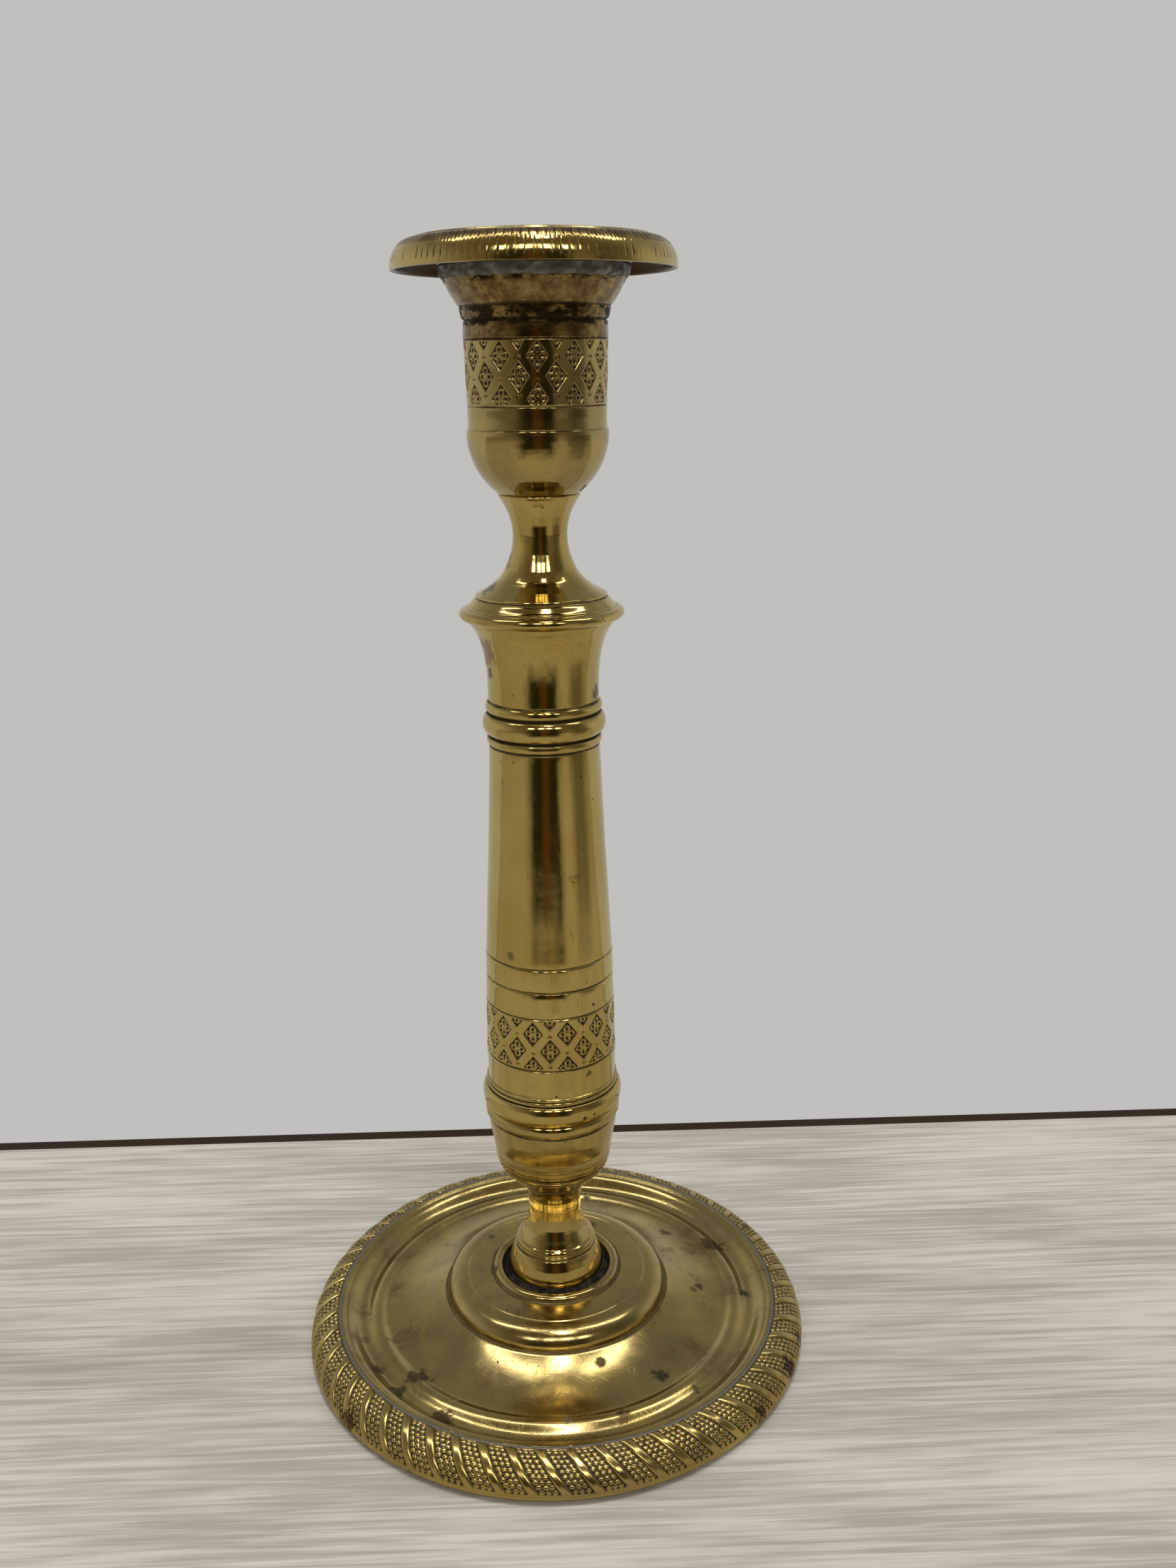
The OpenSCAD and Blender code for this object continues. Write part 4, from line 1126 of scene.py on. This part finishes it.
def flutes(angles, points):
    """Short nicks high on the roll and worn seams low on it, one of each for every flute."""
    turns = arc_angles(points, roll_centre, roll_radii)[:, None]
    counted = angles * FLUTES / (2 * math.pi)
    across = np.abs(counted[None] % 1 - 0.5) * 2
    random = np.random.default_rng(8)
    flute = counted.astype(int) % FLUTES
    strength = random.uniform(0.6, 1.1, FLUTES)[flute][None]
    worn = random.uniform(0.2, 1.0, FLUTES)[flute][None]
    nick_width = 0.15 + 0.55 * soften(turns - 62, 14)
    nick = np.exp(-((turns - NICK_ANGLE) / 14.0) ** 2) * np.clip(1 - across / nick_width, 0, 1)
    low = np.clip((50 - turns) / 35, 0, 1) * soften(turns - 8, 4)
    seam = np.clip(across * 5 - 3.9, 0, 1)
    lift = -NICK_DEPTH * nick * strength - SEAM_DEPTH * seam * low * worn - 0.02 * seam
    # nicks and low seams are darkened: grime and painted shade
    grime_and_shade = np.clip(nick * 1.6, 0, 1) * strength + seam * low * 0.95 * worn + seam * 0.06
    return lift - 0.03, grime_and_shade


turn("drip_pan_turned", [
    # the underside: old film, painted near black as shade as well
    Run([(tube_r, cup_high + 1.4), (tube_r, cup_high), (19.9, cup_high), (20.2, cup_high + 1.9),
         (22.2, cup_high + 3.4), (24.6, cup_high + 4.6)] + pan_under, 216, step=1.2, corner=0.2, aged=1.0),
    Run([(pan_r - 0.12, cup_high + 1.1)] + pan_roll[:1], 216, step=0.4, corner=0.0),
    *[Run(pan_roll[first:last + 1], FLUTES * 8, step=0.16, corner=0.0, relief=flutes, aged=aged)
      for first, last, aged in ROLL_STRETCHES],
    Run(pan_roll[-1:] + pan_rim, 216, step=0.5, corner=0.1, relief=wobble(0.05, 8, 51), aged=0.1),
], brass_of["pan"])

# %% [markdown]
# ## The candle tube
# A thin tube with a closed end holds the candle. It drops into the cup, and its collar rests on
# the floor of the pan. Wax and smoke have darkened the inside, and it is painted darker still as shade.

# %% Candle tube
tube_low, tube_high, collar_r = span("candle_tube")
candle_r = 11.0
turn("candle_tube_turned", [
    Run([(0.0, tube_low), (tube_r - 0.6, tube_low), (tube_r - 0.05, tube_low + 0.6),
         (tube_r - 0.05, tube_high - 0.8), (collar_r - 0.2, tube_high - 0.8), (collar_r, tube_high - 0.5),
         (collar_r - 0.15, tube_high - 0.05), (candle_r + 0.9, tube_high)], 144, step=1.5, corner=0.15, aged=0.3),
    Run([(candle_r + 0.9, tube_high), (candle_r + 0.2, tube_high - 0.15), (candle_r, tube_high - 0.6),
         (candle_r, tube_low + 2.2), (candle_r - 1.0, tube_low + 1.2), (0.0, tube_low + 1.1),
         (0.0, tube_low)], 144, step=1.5, corner=0.2, relief=wobble(0.04, 7, 61), aged=0.8),
], brass_of["tube"])

# %% [markdown]
# ## Rod, washer and nuts
# One iron rod with a thread at each end draws the castings together. Its lower nut and washer
# are seen from below, inside the hollow foot. The nut is turned like the rest, and its relief
# makes the six flats and the chamfers. The slotted top nut is hidden in the cup, so the node of
# the construction model is shown as it is, in iron.

# %% Iron rod
rod_low, rod_high, rod_r = span("tie_rod")
THREAD_PITCH = 1.0


def thread(angles, points):
    """One spiral groove, darkened by its depth as grime and painted shade."""
    phase = (points[:, 1][:, None] / THREAD_PITCH - angles[None] / (2 * math.pi)) % 1
    depth = 0.45 * np.abs(phase - 0.5) * 2
    return -depth, depth * 1.4


side_r, end_r = rod_r - 0.02, rod_r - 0.6
thread_low, thread_high = (rod_low + 0.5, rod_low + 8.0), (rod_high - 7.0, rod_high - 0.5)
turn("tie_rod_turned", [
    Run([(0.0, rod_low), (end_r, rod_low), (side_r, thread_low[0])], 48, step=0.6, corner=0.1),
    Run([(side_r, z) for z in thread_low], 48, step=0.12, relief=thread),
    Run([(side_r, thread_low[1]), (side_r, thread_high[0])], 48, step=10.0),
    Run([(side_r, z) for z in thread_high], 48, step=0.12, relief=thread),
    Run([(side_r, thread_high[1]), (end_r, rod_high), (0.0, rod_high), (0.0, rod_low)],
        48, step=60.0, corner=0.1),
], iron)

# %% Washer
washer_low, washer_high, washer_r = span("base_washer")
turn("base_washer_turned", [
    Run([(bore, washer_low), (washer_r - 0.2, washer_low), (washer_r, washer_low + 0.2),
         (washer_r, washer_high - 0.2), (washer_r - 0.2, washer_high), (bore, washer_high), (bore, washer_low)],
        96, step=1.0, corner=0.1, relief=wobble(0.06, 7, 71)),
], iron)

# %% Nuts
nut_low, nut_high, nut_r = span("base_nut")
core_r = nut_r - 1.0


def flats(angles, points):
    """Lifts a round core to six flats, with the corners chamfered at both ends."""
    apothem = nut_r * math.cos(math.pi / 6)
    sixth = math.pi / 3
    hexagon = apothem / np.cos(angles % sixth - sixth / 2)
    chamfer = apothem + 0.35 + 1.8 * np.minimum(points[:, 1] - nut_low, nut_high - points[:, 1])[:, None]
    lift = np.minimum(hexagon[None], chamfer) - points[:, 0][:, None]
    return lift, np.zeros_like(lift)


turn("base_nut_turned", [
    Run([(rod_r + 0.05, nut_low + 0.4), (rod_r + 0.45, nut_low), (core_r, nut_low)], 144, step=1.0, corner=0.05),
    Run([(core_r, nut_low), (core_r, nut_high)], 144, step=0.2, corner=0.0, relief=flats),
    Run([(core_r, nut_high), (rod_r + 0.45, nut_high), (rod_r + 0.05, nut_high - 0.4),
         (rod_r + 0.05, nut_low + 0.4)], 144, step=1.0, corner=0.05),
], iron)
top_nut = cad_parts["top_nut"]
top_nut.data.materials.clear()
top_nut.data.materials.append(iron)

# %% [markdown]
# ## Floor, backdrop and light
# The stick stands on a pale table in front of a pale, even background. Polished metal shows its
# surroundings, so what stands round it makes most of its look. The room is pale at the sides and
# behind, and dark in front, which gives the dark middle of the shaft that makes it read as
# metal. The table and the room share one description of that dark front, so that the two
# reflections meet. On the table it is a painted shadow that only reflections see, and the stick's
# own shadow stays clean.

# %% The dark front
WALL_TONE = (0.535, 0.525, 0.50)
FRONT_TONE, BROWN_TONE = (0.032, 0.03, 0.014), (0.115, 0.058, 0.02)


def stage_plane(name, corners, material):
    """A flat piece of the stage, which isn't part of the candlestick."""
    mesh = bpy.data.meshes.new(name)
    mesh.from_pydata(corners, [], [tuple(range(len(corners)))])
    mesh.materials.append(material)
    plane = bpy.data.objects.new(name, mesh)
    bpy.context.scene.collection.objects.link(plane)
    return plane


def dark_front(w, east, front, height):
    """The dark in front of the table, by its bearing in degrees: how much of the view it takes,
    and its colour. It is a broad middle, a post on the right and a brown streak. In the room it is a
    darker part of the walls; on the table it is a painted shadow."""
    bearing = w.math("ARCTAN2", east, front) * (180 / math.pi)
    drift = w.noise(w.combine(bearing * 0.04, height), 1.0, 3.0, 0.6)
    bearing = bearing + (drift - 0.5) * 26.0
    middle = within(w, bearing, -44.0, -18.0, 20.0, 37.0)
    post = within(w, bearing, 44.0, 62.0, 78.0, 98.0, most=0.62)
    brown = within(w, bearing, -11.0, -5.0, 3.0, 12.0)
    return w.most(middle, post), w.blend(brown, FRONT_TONE, BROWN_TONE)


# %% [markdown]
# The table is painted in pale grained streaks. A dark joint ends it, and beyond the joint lies
# the even background. Reflections see the table a little warmer, and in front they see a painted
# shadow on it. The table is clear from below and under the foot, so that the hollow foot can be
# looked at from there.

# %% Floor and backdrop
TABLE_EDGE = 0.093
JOINT_WIDTH = 0.0045
TABLE_LIGHT, TABLE_DARK = (0.74, 0.71, 0.66), (0.46, 0.435, 0.395)
TABLE_REFLECTED = (0.50, 0.44, 0.315)
JOINT_TONE = (0.045, 0.032, 0.024)
STAGE_HALF = 3
HIDDEN_BY_FOOT = (base_r - 4.0) * MM

floor_paint, w, shader = new_material("pale_table")
place = w.add("Object", "ShaderNodeTexCoord")
x, y, _ = w.split(place)
away = w.vector("LENGTH", place)
least_away = w.most(away, 0.01)
path = w.outputs("ShaderNodeLightPath", {})
reflected = path["Is Glossy Ray"]

grain = w.noise(w.vector("MULTIPLY", place, (5.0, 150.0, 1.0)), 4.0, 6.0, 0.65, distortion=0.4)
cloud = w.noise(w.vector("MULTIPLY", place, (3.0, 14.0, 1.0)), 3.0, 3.0, 0.6)
paint = w.blend(w.ramp(grain * 0.6 + cloud * 0.4, 0.38, 0.62), TABLE_DARK, TABLE_LIGHT)
paint = w.blend(reflected * 0.45, paint, TABLE_REFLECTED)
# in front the table carries a painted shadow, which only reflections see
cover, dark = dark_front(w, x / least_away, y * -1.0 / least_away, away)
wavy = away + (w.noise(place, 7.0, 3.0, 0.6) - 0.5) * 0.35
paint = w.blend(cover * w.ramp(wavy, 0.2, 0.56) * reflected, paint, dark)
paint = w.blend(w.math("GREATER_THAN", y, TABLE_EDGE), paint, JOINT_TONE)
beyond = w.math("GREATER_THAN", y, TABLE_EDGE + JOINT_WIDTH)
w.feed(shader, {"Base Color": w.blend(beyond, paint, WALL_TONE), "Roughness": 0.6, "Specular IOR Level": 0.0})

# %% The even background, and the clear underside
seen = w.most(path["Is Camera Ray"], reflected, path["Is Transmission Ray"])
wall = w.add("Emission", "ShaderNodeEmission", {"Color": WALL_TONE})
below = w.add("Backfacing", "ShaderNodeNewGeometry")
clear_part = w.most(below, w.math("LESS_THAN", away, HIDDEN_BY_FOOT))
clear = w.add("BSDF", "ShaderNodeBsdfTransparent")
painted = w.add("Shader", "ShaderNodeMixShader", {0: beyond * seen, 1: Wire(w, shader.outputs[0]), 2: wall})
surface = w.add("Shader", "ShaderNodeMixShader", {0: clear_part, 1: painted, 2: clear})
w.feed(floor_paint.node_tree.nodes["Material Output"], {"Surface": surface})
floor_corners = [(x * STAGE_HALF, y * STAGE_HALF, 0) for x, y in ((-1, -1), (1, -1), (1, 1), (-1, 1))]
stage_plane("floor", floor_corners, floor_paint)
print("table edge at", TABLE_EDGE, "m, clear within", round(HIDDEN_BY_FOOT, 4), "m of the axis")

# %% [markdown]
# Three long ceiling panels give the small hot spots and the soft light. Four small panels stand
# far in front and draw the thin bright streaks down the shaft.

# %% Lights
PANEL_COLOUR = (1.0, 0.99, 0.96)
LIT_PLACE = Vector((0.0, 0.0, 0.14))
CEILING_SIZE, FAR_SIZE = (0.25, 1.1), (0.3, 0.4)


def panel(name, place, size, power):
    """A rectangular light that points at the candlestick."""
    data = bpy.data.lights.new(name, "AREA")
    data.shape = "RECTANGLE"
    data.size, data.size_y = size
    data.energy = power
    data.color = PANEL_COLOUR
    light = bpy.data.objects.new(name, data)
    light.location = place
    light.rotation_euler = (LIT_PLACE - Vector(place)).to_track_quat("-Z", "Y").to_euler()
    bpy.context.scene.collection.objects.link(light)


panel("left_panel", (-0.75, 0.1, 2.0), CEILING_SIZE, 5.5)
panel("middle_panel", (0.05, -0.2, 2.1), CEILING_SIZE, 11.0)
panel("right_panel", (0.85, 0.1, 2.0), CEILING_SIZE, 5.5)
for side in (-1, -0.25, 0.3, 1):
    panel(f"far_panel_{side}", (side * 0.9, -1.7, 1.55), FAR_SIZE, 3.2)
print("lights:", len(bpy.data.lights))

# %% [markdown]
# The world is the room. Its walls are pale below and darker above, warm and dim in front, with
# the same dark front as in the table. The camera sees none of it, only the even background.

# %% The room
WALLS_LOW, WALLS_HIGH, WALLS_FRONT = (0.56, 0.55, 0.525), (0.27, 0.262, 0.245), (0.13, 0.085, 0.02)

world = bpy.data.worlds.new("soft_room")
world.use_nodes = True
bpy.context.scene.world = world
w = Wiring(world.node_tree)
path = w.outputs("ShaderNodeLightPath", {})
x, y, height = w.split(w.add("Generated", "ShaderNodeTexCoord"))
level_length = w.most(w.math("SQRT", x * x + y * y), 0.01)
east, front = x / level_length, y / (level_length * -1.0)
cover, dark = dark_front(w, east, front, height * 4.0)
walls = w.blend(w.ramp(height, 0.15, 0.75), WALLS_LOW, WALLS_HIGH)
walls = w.blend(w.ramp(front, -0.2, 0.8, 0.0, 0.8), walls, WALLS_FRONT)
room = w.blend(cover * w.ramp(height, 0.45, 0.8, 1.0, 0.0), walls, dark)
seen = w.most(path["Is Camera Ray"], path["Is Transmission Ray"])
w.feed(world.node_tree.nodes["Background"], {"Color": w.blend(seen, room, WALL_TONE)})
print("the room is set")
